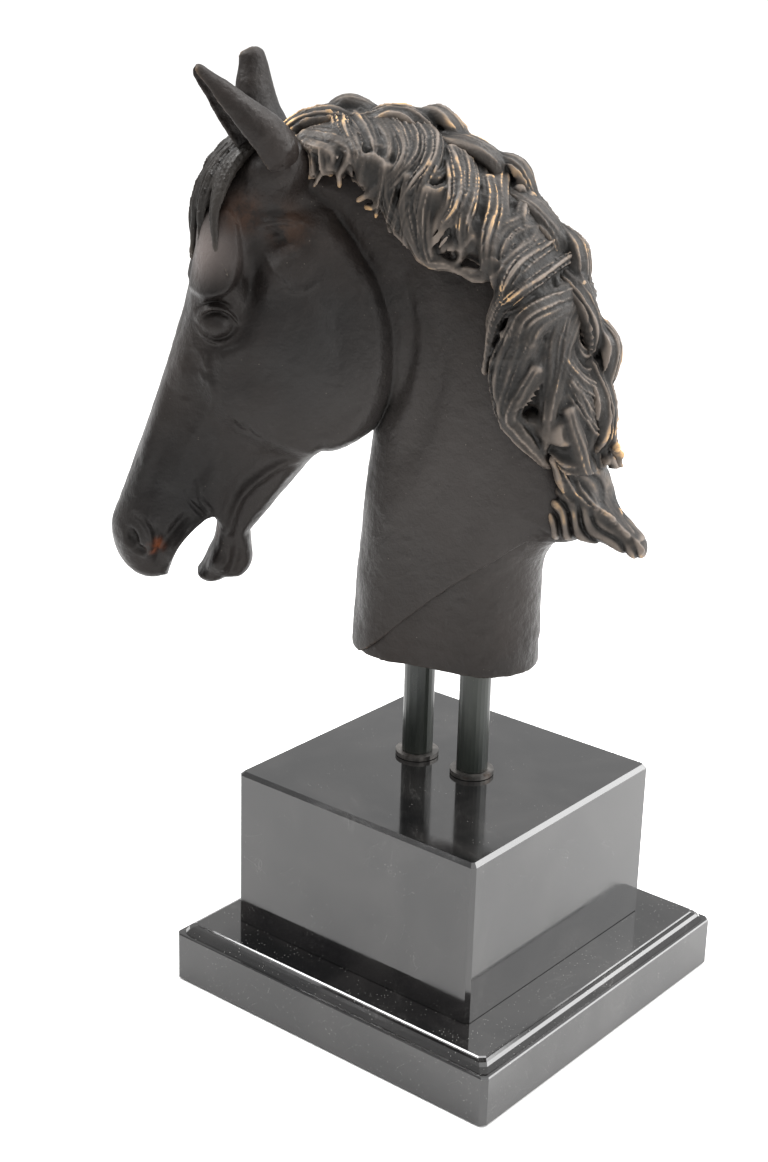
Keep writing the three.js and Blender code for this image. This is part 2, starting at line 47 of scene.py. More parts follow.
LOCK_BLEND = 2.2

# ---------------- the turn of the neck
# The bust is laid out straight in millimetres: u from nose (-) to mane (+), v sideways,
# z height above the slab's underside. The plan line is then bent, as in the CAD.
FELT = 1.5
NECK_AXIS = (-15.3, 5.4)
NECK_YAW, HEAD_YAW = math.radians(12), math.radians(45)
TURN_START, TURN_END = 30.0, -120.0
PLAN_U = np.arange(-300.0, 301.0)


def yaw_at(u):
    t = np.clip((TURN_START - u) / (TURN_START - TURN_END), 0, 1)
    return NECK_YAW + (HEAD_YAW - NECK_YAW) * t * t * (3 - 2 * t)


def plan_line():
    mid = (PLAN_U[1:] + PLAN_U[:-1]) / 2
    dx = np.concatenate([[0], np.cumsum(np.cos(yaw_at(mid)))])
    dy = np.concatenate([[0], np.cumsum(np.sin(yaw_at(mid)))])
    zero = int(np.argmin(np.abs(PLAN_U)))
    return dx - dx[zero] + NECK_AXIS[0], dy - dy[zero] + NECK_AXIS[1]


PLAN_X, PLAN_Y = plan_line()


def turned(points):
    """Straight millimetres (n, 3) to metres in the shared frame."""
    u, v, z = points[:, 0], points[:, 1], points[:, 2]
    yaw = yaw_at(u)
    x = np.interp(u, PLAN_U, PLAN_X) - v * np.sin(yaw)
    y = np.interp(u, PLAN_U, PLAN_Y) + v * np.cos(yaw)
    return np.stack([x, y, z + FELT], 1) / 1000.0


# ---------------- curves and 2-D fields
def smooth_curve(points, per=8, closed=False):
    """Catmull-Rom through the points (n, k)."""
    p = np.asarray(points, float)
    if closed:
        q = np.concatenate([p[-1:], p, p[:2]])
    else:
        q = np.concatenate([2 * p[:1] - p[1:2], p, 2 * p[-1:] - p[-2:-1]])
    t = np.linspace(0, 1, per, endpoint=False)[:, None]
    out = []
    for i in range(1, len(q) - 2):
        a, b, c, d = q[i - 1], q[i], q[i + 1], q[i + 2]
        straight = 2 * b + (c - a) * t
        squared, cubed = (2 * a - 5 * b + 4 * c - d) * t**2, (3 * b - a - 3 * c + d) * t**3
        out.append(0.5 * (straight + squared + cubed))
    out = np.concatenate(out)
    return out if closed else np.concatenate([out, p[-1:]])


def polyline_distance(gu, gz, line, closed=False):
    """Distance to a polyline and the fraction along it, on a grid."""
    best = np.full(gu.shape, 1e9)
    frac = np.zeros(gu.shape)
    pts = np.concatenate([line, line[:1]]) if closed else line
    n = len(pts) - 1
    for i in range(n):
        ax, az = pts[i]
        ex, ez = pts[i + 1][0] - ax, pts[i + 1][1] - az
        t = np.clip(((gu - ax) * ex + (gz - az) * ez) / (ex * ex + ez * ez + 1e-9), 0, 1)
        d2 = (gu - ax - t * ex) ** 2 + (gz - az - t * ez) ** 2
        near = d2 < best
        best = np.where(near, d2, best)
        frac = np.where(near, (i + t) / n, frac)
    return np.sqrt(best), frac


def inside_polygon(gu, gz, line):
    inside = np.zeros(gu.shape, bool)
    ax, az = line[-1]
    for bx, bz in line:
        cross = (az > gz) != (bz > gz)
        if abs(bz - az) > 1e-9:
            inside ^= cross & (gu < (bx - ax) * (gz - az) / (bz - az) + ax)
        ax, az = bx, bz
    return inside


def depth_inside(gu, gz, line):
    """Distance to a closed outline, positive inside it."""
    distance, _ = polyline_distance(gu, gz, line, closed=True)
    return np.where(inside_polygon(gu, gz, line), distance, -distance)


def spread(gu, gz, controls, sigma):
    """Smooth field through [u, z, value] controls (normalised Gaussian weights)."""
    total = np.zeros(gu.shape)
    weight = np.zeros(gu.shape) + 1e-12
    for cu, cz, value, *own in controls:
        s = own[0] if own else sigma
        w = np.exp(-((gu - cu) ** 2 + (gz - cz) ** 2) / (2 * s * s)) + 1e-7 / (
            1 + ((gu - cu) ** 2 + (gz - cz) ** 2) / 400.0
        )
        total += w * value
        weight += w
    return total / weight


def smoothstep(a, b, x):
    t = np.clip((x - a) / (b - a), 0, 1)
    return t * t * (3 - 2 * t)


def smooth_min(a, b, k):
    h = np.clip(0.5 + 0.5 * (b - a) / k, 0, 1)
    return b + (a - b) * h - k * h * (1 - h)


def value_noise(p, cell, seed):
    """Smooth noise in -1..1 at points (..., 3)."""
    q = p / cell
    base = np.floor(q).astype(np.int64)
    f = q - base
    f = f * f * (3 - 2 * f)

    def corner(dx, dy, dz):
        h = (
            (base[..., 0] + dx) * 374761393
            + (base[..., 1] + dy) * 668265263
            + (base[..., 2] + dz) * 2147483647
            + seed * 144665
        )
        h = (h ^ (h >> 13)) * 1274126177
        h = h ^ (h >> 16)
        return (h & 0xFFFF) / 32767.5 - 1

    out = 0
    for dx in (0, 1):
        wx = f[..., 0] if dx else 1 - f[..., 0]
        for dy in (0, 1):
            wy = f[..., 1] if dy else 1 - f[..., 1]
            for dz in (0, 1):
                wz = f[..., 2] if dz else 1 - f[..., 2]
                out = out + wx * wy * wz * corner(dx, dy, dz)
    return out


# ---------------- profile of the body
def arc(centre, radii, start, end, count=14):
    """Points along an elliptic arc; the angles are in degrees."""
    turn = np.radians(np.linspace(start, end, count))
    return np.stack([centre[0] + radii[0] * np.cos(turn), centre[1] + radii[1] * np.sin(turn)], 1)


def bow(start, pull, end, count=12):
    """Points along a curve that leaves for, and arrives from, one pulling point."""
    t = np.linspace(0, 1, count)[:, None]
    a, b, c = (np.array(p, float) for p in (start, pull, end))
    return (1 - t) ** 2 * a + 2 * t * (1 - t) * b + t**2 * c


# The side view of the horse, [u, z]: ellipses for its round masses, curves between them.
FOREHEAD, FOREHEAD_RADII = (-122, 508), (47, 67)
MUZZLE, MUZZLE_RADII = (-200, 318), (26.5, 33)
CHIN, CHIN_RADII = (-148, 300), (15, 16)
JOWL, JOWL_RADII = (-86, 445), (54, 70)
CREST, CREST_RADII = (-60, 396), (147, 176)
LIP, MOUTH_CORNER, LOWER_LIP = (-189, 287), (-160, 329), (-171, 286)
NECK_FRONT, THROAT, WITHERS_TOP = (-66, 200), (-50, 412), (97, 345)
NECK_REAR = 67
HEAD_LINE = np.concatenate([
    arc(FOREHEAD, FOREHEAD_RADII, 90, 180),
    bow((-169, 508), (-176, 455), (-225.5, 326))[1:],
    arc(MUZZLE, MUZZLE_RADII, 172, 285),
    bow(LIP, (-181, 321), MOUTH_CORNER),
    bow((-157, 324), (-156, 305), LOWER_LIP),
    bow(LOWER_LIP, (-163, 277), (-152, 284)),
    arc(CHIN, CHIN_RADII, 290, 370, 8),
    [(-135, 317)],
    arc(JOWL, JOWL_RADII, -92, 60, 22),
    [(-98, 566)],
])
NECK_LINE = np.concatenate([
    bow(NECK_FRONT, (-64, 320), THROAT),
    bow(THROAT, (-58, 490), (-120, 550)),
    arc(CREST, CREST_RADII, 113, 0, 30),
    bow((88, 390), (92, 360), WITHERS_TOP)[1:],
    bow(WITHERS_TOP, (97, 332), (82, 329))[1:],
    bow((82, 329), (NECK_REAR, 322), (NECK_REAR, 300))[1:],
    [(NECK_REAR, 200)],
])
HEAD_HALF = [
    (-112, 562, 22), (-140, 560, 24), (-125, 538, 36), (-158, 535, 27), (-150, 508, 38),
    (-166, 490, 34, 12), (-152, 480, 46, 12), (-160, 470, 44, 12), (-158, 456, 42, 12),
    (-138, 458, 46), (-120, 478, 45), (-100, 500, 42), (-75, 500, 38), (-105, 455, 46),
    (-80, 432, 45), (-55, 445, 39), (-45, 425, 36), (-75, 400, 38), (-60, 470, 38),
    (-172, 440, 33, 12), (-160, 430, 38), (-140, 425, 42), (-112, 415, 42), (-100, 385, 36),
    (-186, 410, 25, 12), (-170, 400, 31), (-150, 392, 35), (-125, 385, 33), (-196, 380, 22, 12),
    (-182, 372, 26), (-165, 362, 29), (-140, 360, 28), (-118, 358, 26), (-208, 350, 21, 10),
    (-195, 345, 24), (-178, 340, 27), (-160, 340, 26), (-140, 335, 24), (-216, 325, 23, 10),
    (-205, 318, 27, 10), (-192, 312, 26, 10), (-215, 305, 22, 8), (-203, 296, 22, 8),
    (-193, 292, 18, 8), (-150, 318, 20, 10), (-147, 302, 21, 10), (-160, 290, 17, 8),
    (-142, 298, 19, 8),
]
HEAD_ROUND = [
    (-112, 565, 24), (-140, 565, 22), (-165, 530, 18), (-170, 500, 15), (-176, 470, 14),
    (-185, 440, 15), (-200, 400, 14), (-212, 360, 13), (-222, 325, 15), (-215, 298, 13),
    (-200, 288, 8, 8), (-185, 300, 7, 8), (-170, 322, 6, 8), (-160, 328, 5, 8), (-158, 305, 5, 8),
    (-168, 288, 6, 8), (-150, 285, 8, 8), (-136, 300, 9, 8), (-125, 330, 10), (-100, 360, 13),
    (-75, 380, 17), (-45, 400, 18), (-33, 445, 17), (-42, 495, 18), (-80, 540, 20),
    (-190, 360, 13), (-150, 400, 20), (-110, 440, 24),
]
NECK_HALF = [
    (0, 240, 40), (0, 300, 40), (10, 340, 40), (15, 380, 39), (12, 420, 38), (5, 460, 36),
    (-10, 495, 35), (-40, 520, 34), (-80, 545, 31), (-110, 555, 27), (70, 300, 36), (60, 400, 34),
    (-40, 300, 39), (-35, 400, 34), (-35, 440, 31), (-50, 480, 31),
]
NECK_ROUND = [
    (-64, 260, 36), (-60, 320, 34), (-55, 380, 30), (-50, 430, 30), (70, 260, 36), (75, 320, 36),
    (90, 360, 42), (85, 400, 50), (70, 460, 55), (30, 530, 55), (-30, 565, 45), (-90, 570, 30),
    (0, 400, 45),
]


EVERYWHERE = (slice(None),) * 3


class Field:
    """A block of space in straight millimetres holding a signed distance."""

    def __init__(self, low, high, step):
        self.low, self.step = np.array(low, float), step
        counts = [int(math.ceil((b - a) / step)) + 1 for a, b in zip(low, high)]
        self.axes = [self.low[i] + step * np.arange(counts[i]) for i in range(3)]
        self.value = np.full(counts, FAR, np.float32)

    def plane(self):
        """The u and z of every column across the statue."""
        return np.meshgrid(self.axes[0], self.axes[2], indexing="ij")

    def window(self, low, high):
        """Slices of the cells inside a box."""
        cuts = []
        for i in range(3):
            a = max(int(math.floor((low[i] - self.low[i]) / self.step)), 0)
            b = min(int(math.ceil((high[i] - self.low[i]) / self.step)) + 1, len(self.axes[i]))
            cuts.append(slice(a, max(b, a)))
        return tuple(cuts)

    def points(self, cuts):
        """Broadcastable u, v, z of a window."""
        u, v, z = (self.axes[i][cuts[i]].astype(np.float32) for i in range(3))
        return u[:, None, None], v[None, :, None], z[None, None, :]


class Profile:
    """Depth inside an outline, half width and edge rounding over the middle plane."""

    def __init__(self, field, line, half_controls, round_controls, sigma):
        self.gu, self.gz = field.plane()
        self.depth = depth_inside(self.gu, self.gz, line)
        self.half = spread(self.gu, self.gz, half_controls, sigma)
        self.rounding = spread(self.gu, self.gz, round_controls, sigma)
        self.relief = np.zeros(self.gu.shape)

    def ridge(self, line, height, width):
        """Raises or sinks the side surface along a curve, fading at its ends."""
        curve = smooth_curve(line, 6)
        distance, frac = polyline_distance(self.gu, self.gz, curve)
        ends = np.clip(np.sin(np.pi * np.clip(frac, 0, 1)), 0, 1) ** 0.5
        self.relief += height * np.exp(-((distance / width) ** 2)) * ends

    def bump(self, centre, radii, height, tilt=0.0):
        """Raises or sinks an elliptic patch."""
        c, s = math.cos(math.radians(tilt)), math.sin(math.radians(tilt))
        du, dz = self.gu - centre[0], self.gz - centre[1]
        a = (du * c + dz * s) / radii[0]
        b = (-du * s + dz * c) / radii[1]
        self.relief += height * np.exp(-(a * a + b * b))

    def plateau(self, line, height, soft):
        """Raises a flat patch inside an outline with a soft step."""
        depth = depth_inside(self.gu, self.gz, smooth_curve(line, 5, closed=True))
        self.relief += height * smoothstep(-soft, soft, depth)

    def inflate(self, v, grow=0.0, power=2.2):
        """Signed field of the profile blown up to its half width."""
        rounding = self.rounding[:, None, :].astype(np.float32)
        depth = (self.depth[:, None, :] + grow).astype(np.float32)
        half = (self.half[:, None, :] + grow).astype(np.float32)
        edge = np.maximum(rounding - depth, 0) / rounding
        side = np.abs(v) / half
        reach = (edge**power + side**power) ** (1 / power)
        relief = self.relief[:, None, :].astype(np.float32) * smoothstep(4, 17, np.abs(v))
        return (reach - 1) * np.minimum(rounding, half) - relief


def ellipsoid(field, centre, radii, tilt=0.0):
    """Signed field of an ellipsoid turned by tilt degrees in the middle plane."""
    u, v, z = field.points(EVERYWHERE)
    c, s = math.cos(math.radians(tilt)), math.sin(math.radians(tilt))
    du, dv, dz = u - centre[0], v - centre[1], z - centre[2]
    a, b, d = (du * c + dz * s) / radii[0], dv / radii[1], (-du * s + dz * c) / radii[2]
    return (np.sqrt(a * a + b * b + d * d) - 1) * min(radii)


# ---------------- strands and ribbons
CORE_LINE = smooth_curve(
    [(-124, 548), (-95, 548), (-55, 545), (-10, 530), (22, 500), (42, 455), (52, 410), (60, 350)], 6
)


def outward_at(line):
    """Direction away from the middle of the neck at each point."""
    core = np.stack([CORE_LINE[:, 0], np.zeros(len(CORE_LINE)), CORE_LINE[:, 1]], 1)
    d = line[:, None, :] - core[None]
    d2 = (d**2).sum(2)
    near = d[np.arange(len(line)), d2.argmin(1)]
    return near / np.linalg.norm(near, axis=1)[:, None]


def resample(line, spacing):
    steps = np.linalg.norm(np.diff(line, axis=0), axis=1)
    reach = np.concatenate([[0], np.cumsum(steps)])
    count = max(int(round(reach[-1] / spacing)), 4) + 1
    at = np.linspace(0, reach[-1], count)
    return np.stack([np.interp(at, reach, line[:, i]) for i in range(line.shape[1])], 1)


def sweep(field, points, reach, ahead=None):
    """Local coordinates round a path: across, out, beyond the ends and fraction along."""
    line = resample(smooth_curve(points, 8), SWEEP_SPACING)
    n = len(line)
    tangent = np.gradient(line, axis=0)
    tangent /= np.linalg.norm(tangent, axis=1)[:, None]
    out = outward_at(line) if ahead is None else np.tile(np.array(ahead, float), (n, 1))
    out = out - (out * tangent).sum(1)[:, None] * tangent
    out /= np.linalg.norm(out, axis=1)[:, None]
    side = np.cross(tangent, out)
    whole = field.window(line.min(0) - reach, line.max(0) + reach)
    shape = tuple(c.stop - c.start for c in whole)
    if min(shape) < 1:
        return None
    best = np.full(shape, 1e9, np.float32)
    local = [np.zeros(shape, np.float32) for _ in range(4)]
    for i in range(n - 1):
        low = np.minimum(line[i], line[i + 1]) - reach
        high = np.maximum(line[i], line[i + 1]) + reach
        cuts = field.window(low, high)
        if min(c.stop - c.start for c in cuts) < 1:
            continue
        u, v, z = field.points(cuts)
        inner = tuple(slice(c.start - w.start, c.stop - w.start) for c, w in zip(cuts, whole))
        du, dv, dz = u - line[i, 0], v - line[i, 1], z - line[i, 2]
        e = line[i + 1] - line[i]
        raw = (du * e[0] + dv * e[1] + dz * e[2]) / (e @ e)
        t = np.clip(raw, 0, 1)
        cu, cv, cz = du - t * e[0], dv - t * e[1], dz - t * e[2]
        d2 = cu * cu + cv * cv + cz * cz
        near = d2 < best[inner]
        best[inner] = np.where(near, d2, best[inner])
        beyond = np.zeros_like(raw)
        if i == 0:
            beyond = beyond + np.maximum(-raw, 0) * np.linalg.norm(e)
        if i == n - 2:
            beyond = beyond + np.maximum(raw - 1, 0) * np.linalg.norm(e)
        s, o = side[i], out[i]
        across = cu * s[0] + cv * s[1] + cz * s[2]
        above = cu * o[0] + cv * o[1] + cz * o[2]
        for array, value in zip(local, (across, above, beyond, (i + t) / (n - 1))):
            array[inner] = np.where(near, value, array[inner])
    return whole, best < 1e8, local


LOCK_START, LOCK_END = 0.8, 0.28  # width at the root and the tip, as shares of the full width
GROOVE = 3.5


def add_lock(field, points, width, thick, strands):
    """One lock of hair: a tapering ribbon scored into strands."""
    reach = 0.5 * max(width, thick) + 4
    swept = sweep(field, points, reach)
    if swept is None:
        return
    whole, known, (across, above, beyond, along) = swept
    grow = smoothstep(0.0, 0.35, along) * (1 - LOCK_START) + LOCK_START
    fade = 1 - (1 - LOCK_END) * smoothstep(0.45, 1.0, along)
    half_w = 0.5 * width * grow * fade
    half_h = 0.5 * thick * (0.75 * grow + 0.25) * (0.6 * fade + 0.4)
    x = across / half_w
    q = np.sqrt(x * x + (above / half_h) ** 2 + (beyond / half_h) ** 2)
    seed = points[0][0] * 0.37 + points[-1][2] * 0.11
    wander = x + 0.2 * np.sin(5.1 * along + seed) + 0.12 * np.sin(7.0 * x + 2.3 * seed)
    phase = 0.5 * strands * (wander + 1)
    sharp = 1.1 - np.sqrt(np.sin(np.pi * phase) ** 2 + RIDGE_ROUNDING)
    sharp = np.clip(sharp, 0, 1)
    uneven = 0.65 + 0.35 * np.sin(np.floor(phase + 0.5) * 12.99 + seed)
    scored = 0.32 * GROOVE - GROOVE * uneven * sharp**1.5
    inside = (1 - smoothstep(0.75, 1.25, np.abs(x))) * (1 - smoothstep(0.0, 0.8, beyond / half_h))
    body = (q - 1) * np.minimum(half_w, half_h) + scored * inside * np.clip(half_w / 6.0, 0.3, 1)
    body = np.where(known, body, FAR).astype(np.float32)
    field.value[whole] = smooth_min(field.value[whole], body, LOCK_BLEND)


# ---------------- fields to meshes
def add_object(name, data):
    """A new object of the scene."""
    thing = bpy.data.objects.new(name, data)
    bpy.context.scene.collection.objects.link(thing)
    return thing


def box_blur(a, r):
    """Mean over a cube of 2r + 1 cells, by running sums."""
    for axis in range(3):
        pad = [(0, 0)] * 3
        pad[axis] = (r + 1, r)
        c = np.cumsum(np.pad(a, pad, mode="edge"), axis=axis, dtype=np.float64)
        n = c.shape[axis]
        hi = np.take(c, np.arange(2 * r + 1, n), axis=axis)
        lo = np.take(c, np.arange(0, n - 2 * r - 1), axis=axis)
        a = ((hi - lo) / (2 * r + 1)).astype(np.float32)
    return a


def sample(a, q):
    """Trilinear value of a block at index coordinates."""
    base = np.clip(np.floor(q).astype(int), 0, np.array(a.shape) - 2)
    f = np.clip(q - base, 0, 1)
    i, j, k = base.T
    fx, fy, fz = f.T
    out = 0
    for dx in (0, 1):
        for dy in (0, 1):
            for dz in (0, 1):
                w = (fx if dx else 1 - fx) * (fy if dy else 1 - fy) * (fz if dz else 1 - fz)
                out = out + w * a[i + dx, j + dy, k + dz]
    return out


def cast(name, field, rough=((9.0, 0.22), (3.2, 0.1)), blur=3):
    """Turns a field into a closed mesh object in the frame, with an edge attribute for wear and
    painted light.
    """
    value = np.clip(field.value, -FAR, FAR)
    grid = openvdb.FloatGrid()
    grid.background = FAR
    grid.copyFromArray(value.astype(np.float32), tolerance=1e-6)
    points, quads = grid.convertToQuads(isovalue=0.0)
    points = points.astype(float)
    steps = np.eye(3) * FACING_STEP
    normal = np.stack(
        [sample(value, points + s) - sample(value, points - s) for s in steps], 1
    )
    normal /= np.linalg.norm(normal, axis=1)[:, None] + 1e-9
    # High on proud edges, low in creases: drives rubbed wear, a painted highlight and painted
    # shade.
    soft = box_blur(value, blur)
    wear_and_painted_light = sample(soft, points) / (blur * field.step)
    place = field.low + field.step * points
    for cell, height in rough:
        place = place + normal * (height * value_noise(place, cell, 7))[:, None]
    mesh = bpy.data.meshes.new(name)
    mesh.from_pydata(turned(place).tolist(), [], quads[:, ::-1].tolist())
    mesh.update()
    keep = mesh.attributes.new("wear_and_painted_light", "FLOAT", "POINT")
    keep.data.foreach_set("value", wear_and_painted_light.astype(np.float32))
    mesh.polygons.foreach_set("use_smooth", [True] * len(mesh.polygons))
    print(name, len(mesh.polygons), "faces")
    return add_object(name, mesh)


# ---------------- head and neck
NECK_SPREAD, HEAD_SPREAD, MANE_SPREAD, WITHERS_SPREAD = 30.0, 14.0, 18.0, 9.0
SEAM_U, SEAM_Z, SEAM_TOP = -60, 236, 334.3
SEAM_SLOPE = 0.78
SEAM_LAP = 3
BODY_FOOT, SOCLE_FOOT = 238.4, 238.0
SOCLE_INSET = 2.4
HEAD_POWER, NECK_POWER = 2.3, 2.1  # 2 is an ellipse in section, more is squarer


def seam_height(u):
    """The slanting seam between the head casting and the socle."""
    return np.minimum(SEAM_Z + SEAM_SLOPE * (u - SEAM_U), SEAM_TOP)


def neck_profile(field):
    p = Profile(field, NECK_LINE, NECK_HALF, NECK_ROUND, NECK_SPREAD)
    p.ridge([(-22, 500), (-10, 465), (-14, 425), (-34, 392)], 2.0, 7)
    p.ridge([(-30, 498), (-20, 465), (-24, 432), (-38, 404)], -2.2, 6)
    p.ridge([(8, 495), (18, 450), (12, 400), (-14, 360), (-40, 335)], 1.8, 12)
    p.ridge([(-8, 480), (2, 445), (-6, 405), (-30, 368)], -1.4, 8)
    p.ridge([(40, 420), (42, 380), (30, 340), (10, 300)], -1.2, 10)
    return p


def head_profile(field):
    p = Profile(field, HEAD_LINE, HEAD_HALF, HEAD_ROUND, HEAD_SPREAD)
    cheek = [
        (-158, 446), (-160, 420), (-154, 402), (-132, 387), (-100, 377), (-72, 381), (-46, 398),
        (-28, 445), (-34, 482), (-56, 512), (-92, 524), (-118, 512), (-132, 484), (-138, 458),
    ]
    p.plateau(cheek, 2.6, 6)
    jaw = [
        (-150, 396), (-128, 381), (-96, 371), (-90, 360),
        (-118, 334), (-132, 318), (-146, 330), (-152, 360),
    ]
    p.plateau(jaw, -2.2, 9)
    brow = [
        (-182, 484), (-178, 505), (-167, 528), (-150, 534), (-143, 514), (-145, 494), (-152, 484),
        (-163, 481), (-172, 481.5),
    ]
    p.plateau(brow, 2.2, 2.6)
    p.bump((-163, 502), (10, 16), 0.8, 0)
    p.bump((-135, 486), (9, 18), -3.4, 12)
    p.bump((-116, 514), (15, 6), -3.2, 0)
    p.ridge([(-134, 524), (-116, 528), (-96, 524)], 2.0, 3.4)
    p.bump((-102, 534), (12, 5), -1.8, 0)
    p.bump((-157, 463), (17, 12), -1.9, 0)
    p.ridge([(-171, 464), (-166, 471.5), (-158, 474.5), (-150, 471.5), (-143, 463)], 1.7, 1.3)
    p.ridge([(-171, 470), (-166, 475.5), (-158, 478), (-148, 475)], -1.0, 1.3)
    p.ridge([(-170, 462), (-165, 455.5), (-157, 452.5), (-149, 455.5), (-143, 462)], 1.2, 1.5)
    p.ridge([(-167, 446), (-164, 430), (-161, 416), (-165, 402), (-172, 388)], 1.5, 3.0)
    p.ridge([(-172, 446), (-174, 430), (-178, 412)], -1.2, 3.4)
    p.ridge([(-165, 446), (-166, 440), (-163, 434)], 0.8, 1.4)
    p.ridge([(-169, 434), (-166, 426), (-168, 418)], 0.8, 1.4)
    p.ridge([(-186, 430), (-194, 405), (-204, 372), (-212, 345)], 1.0, 3.4)
    p.ridge([(-180, 418), (-188, 392), (-197, 364), (-203, 345)], -1.4, 5)
    p.ridge([(-172, 392), (-181, 372), (-187, 350)], 1.2, 5)
    p.ridge([(-158, 388), (-166, 366), (-175, 346)], -1.2, 5)
    p.ridge([(-150, 318), (-146, 334), (-138, 350), (-120, 365), (-98, 376)], 1.7, 3.0)
    p.ridge([(-160, 336), (-168, 346), (-171, 358)], 1.3, 2.0)
    p.ridge([(-165, 332), (-175, 343), (-178, 352)], -1.1, 2.0)
    p.ridge([(-190, 292), (-186, 306), (-178, 320), (-166, 331)], 1.4, 2.2)
    p.ridge([(-198, 298), (-193, 312), (-184, 326), (-176, 336)], -1.3, 3.0)
    p.bump((-206, 321), (9, 12), 2.6, 0)
    p.ridge([(-213, 335), (-206, 331), (-201, 322), (-201, 312), (-206, 304)], 1.6, 2.2)
    p.ridge([(-196, 332), (-193, 320), (-196, 308)], -0.9, 2.4)
    p.ridge([(-129, 510), (-121, 497), (-111, 487), (-102, 489)], 0.8, 1.3)
    p.ridge([(-118, 488), (-104, 486), (-92, 492)], 0.6, 1.3)
    p.ridge([(-150, 404), (-144, 396), (-137, 392)], -1.2, 1.6)
    p.ridge([(-141, 400), (-134, 391), (-126, 388)], -0.9, 1.4)
    p.bump((-158, 297), (7, 6), 1.2, 0)
    p.ridge([(-152, 318), (-150, 304), (-156, 290)], 0.6, 2.0)
    p.ridge([(-146, 322), (-144, 306), (-148, 290)], -0.7, 2.2)
    return p


def cast_body():
    field = Field((-236, -58, 224), (110, 58, 592), FINE)
    u, v, z = field.points(EVERYWHERE)
    head = head_profile(field).inflate(v, power=HEAD_POWER)
    neck = neck_profile(field).inflate(v, power=NECK_POWER)
    for side in (-1, 1):
        eye = ellipsoid(field, (-157, side * 35.5, 463), (12.0, 9.6, 9.2), -8)
        head = smooth_min(head, eye, 1.2)
        root = ellipsoid(field, (-119, side * 25, 557), (22, 18, 17), 35)
        head = smooth_min(head, root, 9.0)
        pit = ellipsoid(field, (-213, side * 28, 319), (5.0, 6.5, 8.0), 18)
        head = -smooth_min(-head, pit, 1.6)
        slot_low = ellipsoid(field, (-208, side * 28, 311), (5, 4.4, 3.4), -30)
        head = -smooth_min(-head, slot_low, 1.6)
    body = smooth_min(head, neck, 3.0)
    cut = (seam_height(u) - z) * SEAM_SLOPE
    field.value[:] = np.maximum(np.maximum(body, cut), BODY_FOOT - z)
    return cast("horse_head_and_neck", field, rough=((16.0, 0.4), (5.5, 0.2), (2.8, 0.1)), blur=4)


def cast_socle():
    field = Field((-76, -52, 232), (82, 52, 345), FINE)
    u, v, z = field.points(EVERYWHERE)
    plain = Profile(field, NECK_LINE, NECK_HALF, NECK_ROUND, NECK_SPREAD)
    neck = plain.inflate(v, grow=-SOCLE_INSET, power=NECK_POWER)
    top = (z - seam_height(u) - SEAM_LAP) * SEAM_SLOPE
    bottom = SOCLE_FOOT - z
    field.value[:] = np.maximum(np.maximum(neck, top), bottom)
    return cast("horse_neck_socle", field, rough=((7.0, 0.35), (2.6, 0.2)), blur=4)


# ---------------- ears
# Each ear runs from root to tip; its sizes are half width and half depth.
NEAR_EAR = [
    (-113, -22, 557), (-121, -27, 566), (-131, -30, 578),
    (-145, -33, 592), (-157, -34, 605), (-167, -33, 615),
]
FAR_EAR = [
    (-112, 18, 548), (-122, 26, 566), (-129, 31, 583),
    (-132, 33, 599), (-133, 34, 611), (-134, 34, 619),
]
NEAR_EAR_SIZE = [(13, 12), (20, 17), (20.5, 15.5), (16, 12), (11, 8.5), (5.5, 5)]
FAR_EAR_SIZE = [(16, 13), (22, 16.5), (21, 15), (18, 13), (14.5, 11), (9.5, 8.5)]


def cast_ear(name, line, sizes, side):
    low = np.array(line).min(0) - 30
    high = np.array(line).max(0) + 14
    field = Field(low, high, FINE_HAIR)
    ahead = np.array([-0.75, side * 0.35, -0.35])
    whole, known, (across, above, beyond, along) = sweep(field, line, 34, ahead=ahead)
    stops = np.linspace(0, 1, len(sizes))
    wide = np.interp(along, stops, [s[0] for s in sizes])
    deep = np.interp(along, stops, [s[1] for s in sizes])
    shell = np.sqrt((across / wide) ** 2 + (above / deep) ** 2 + (beyond / 6) ** 2) - 1
    shell = shell * np.minimum(wide, deep)
    bowl_w, bowl_d = 0.6 * wide, 0.95 * deep
    bowl = np.sqrt((across / bowl_w) ** 2 + ((above - 0.7 * deep) / bowl_d) ** 2) - 1
    bowl = bowl * np.minimum(bowl_w, bowl_d)
    bowl = np.maximum(bowl, (0.16 - along) * 60)
    rib = 0.5 * np.abs(np.sin(across * 1.1 + 4 * along))
    body = -smooth_min(-shell, bowl + rib, 1.5)
    field.value[whole] = np.where(known, body, FAR)
    return cast(name, field, rough=((8.0, 0.35), (2.4, 0.2)))


# ---------------- hair
def on_crest(degrees, offset):
    """A place measured from the crest: 112 degrees at the poll, 0 at the withers."""
    turn = np.radians(degrees)
    u = CREST[0] + (CREST_RADII[0] + offset) * np.cos(turn)
    return np.stack([u, CREST[1] + (CREST_RADII[1] + offset) * np.sin(turn)], -1)


POLL_ANGLE = 112
CREST_LOCK_COUNT, CREST_LOCK_STEP = 11, 9.6
FORELOCK_FAN = 6
# Two tongues of hair hang below the mane's edge: (degrees along the crest, depth, spread).
TONGUES = ((70, 38, 20), (19, 27, 12))
MANE_LIFT, MANE_HANG = 14, 12
REAR_LIFT, REAR_GATHER = 10, 14  # the mane thickens outwards and thins inwards at its rear end
REAR_FROM, REAR_TO = 6, -13
TIP_SINK, TIP_OVERHANG = 5, 5


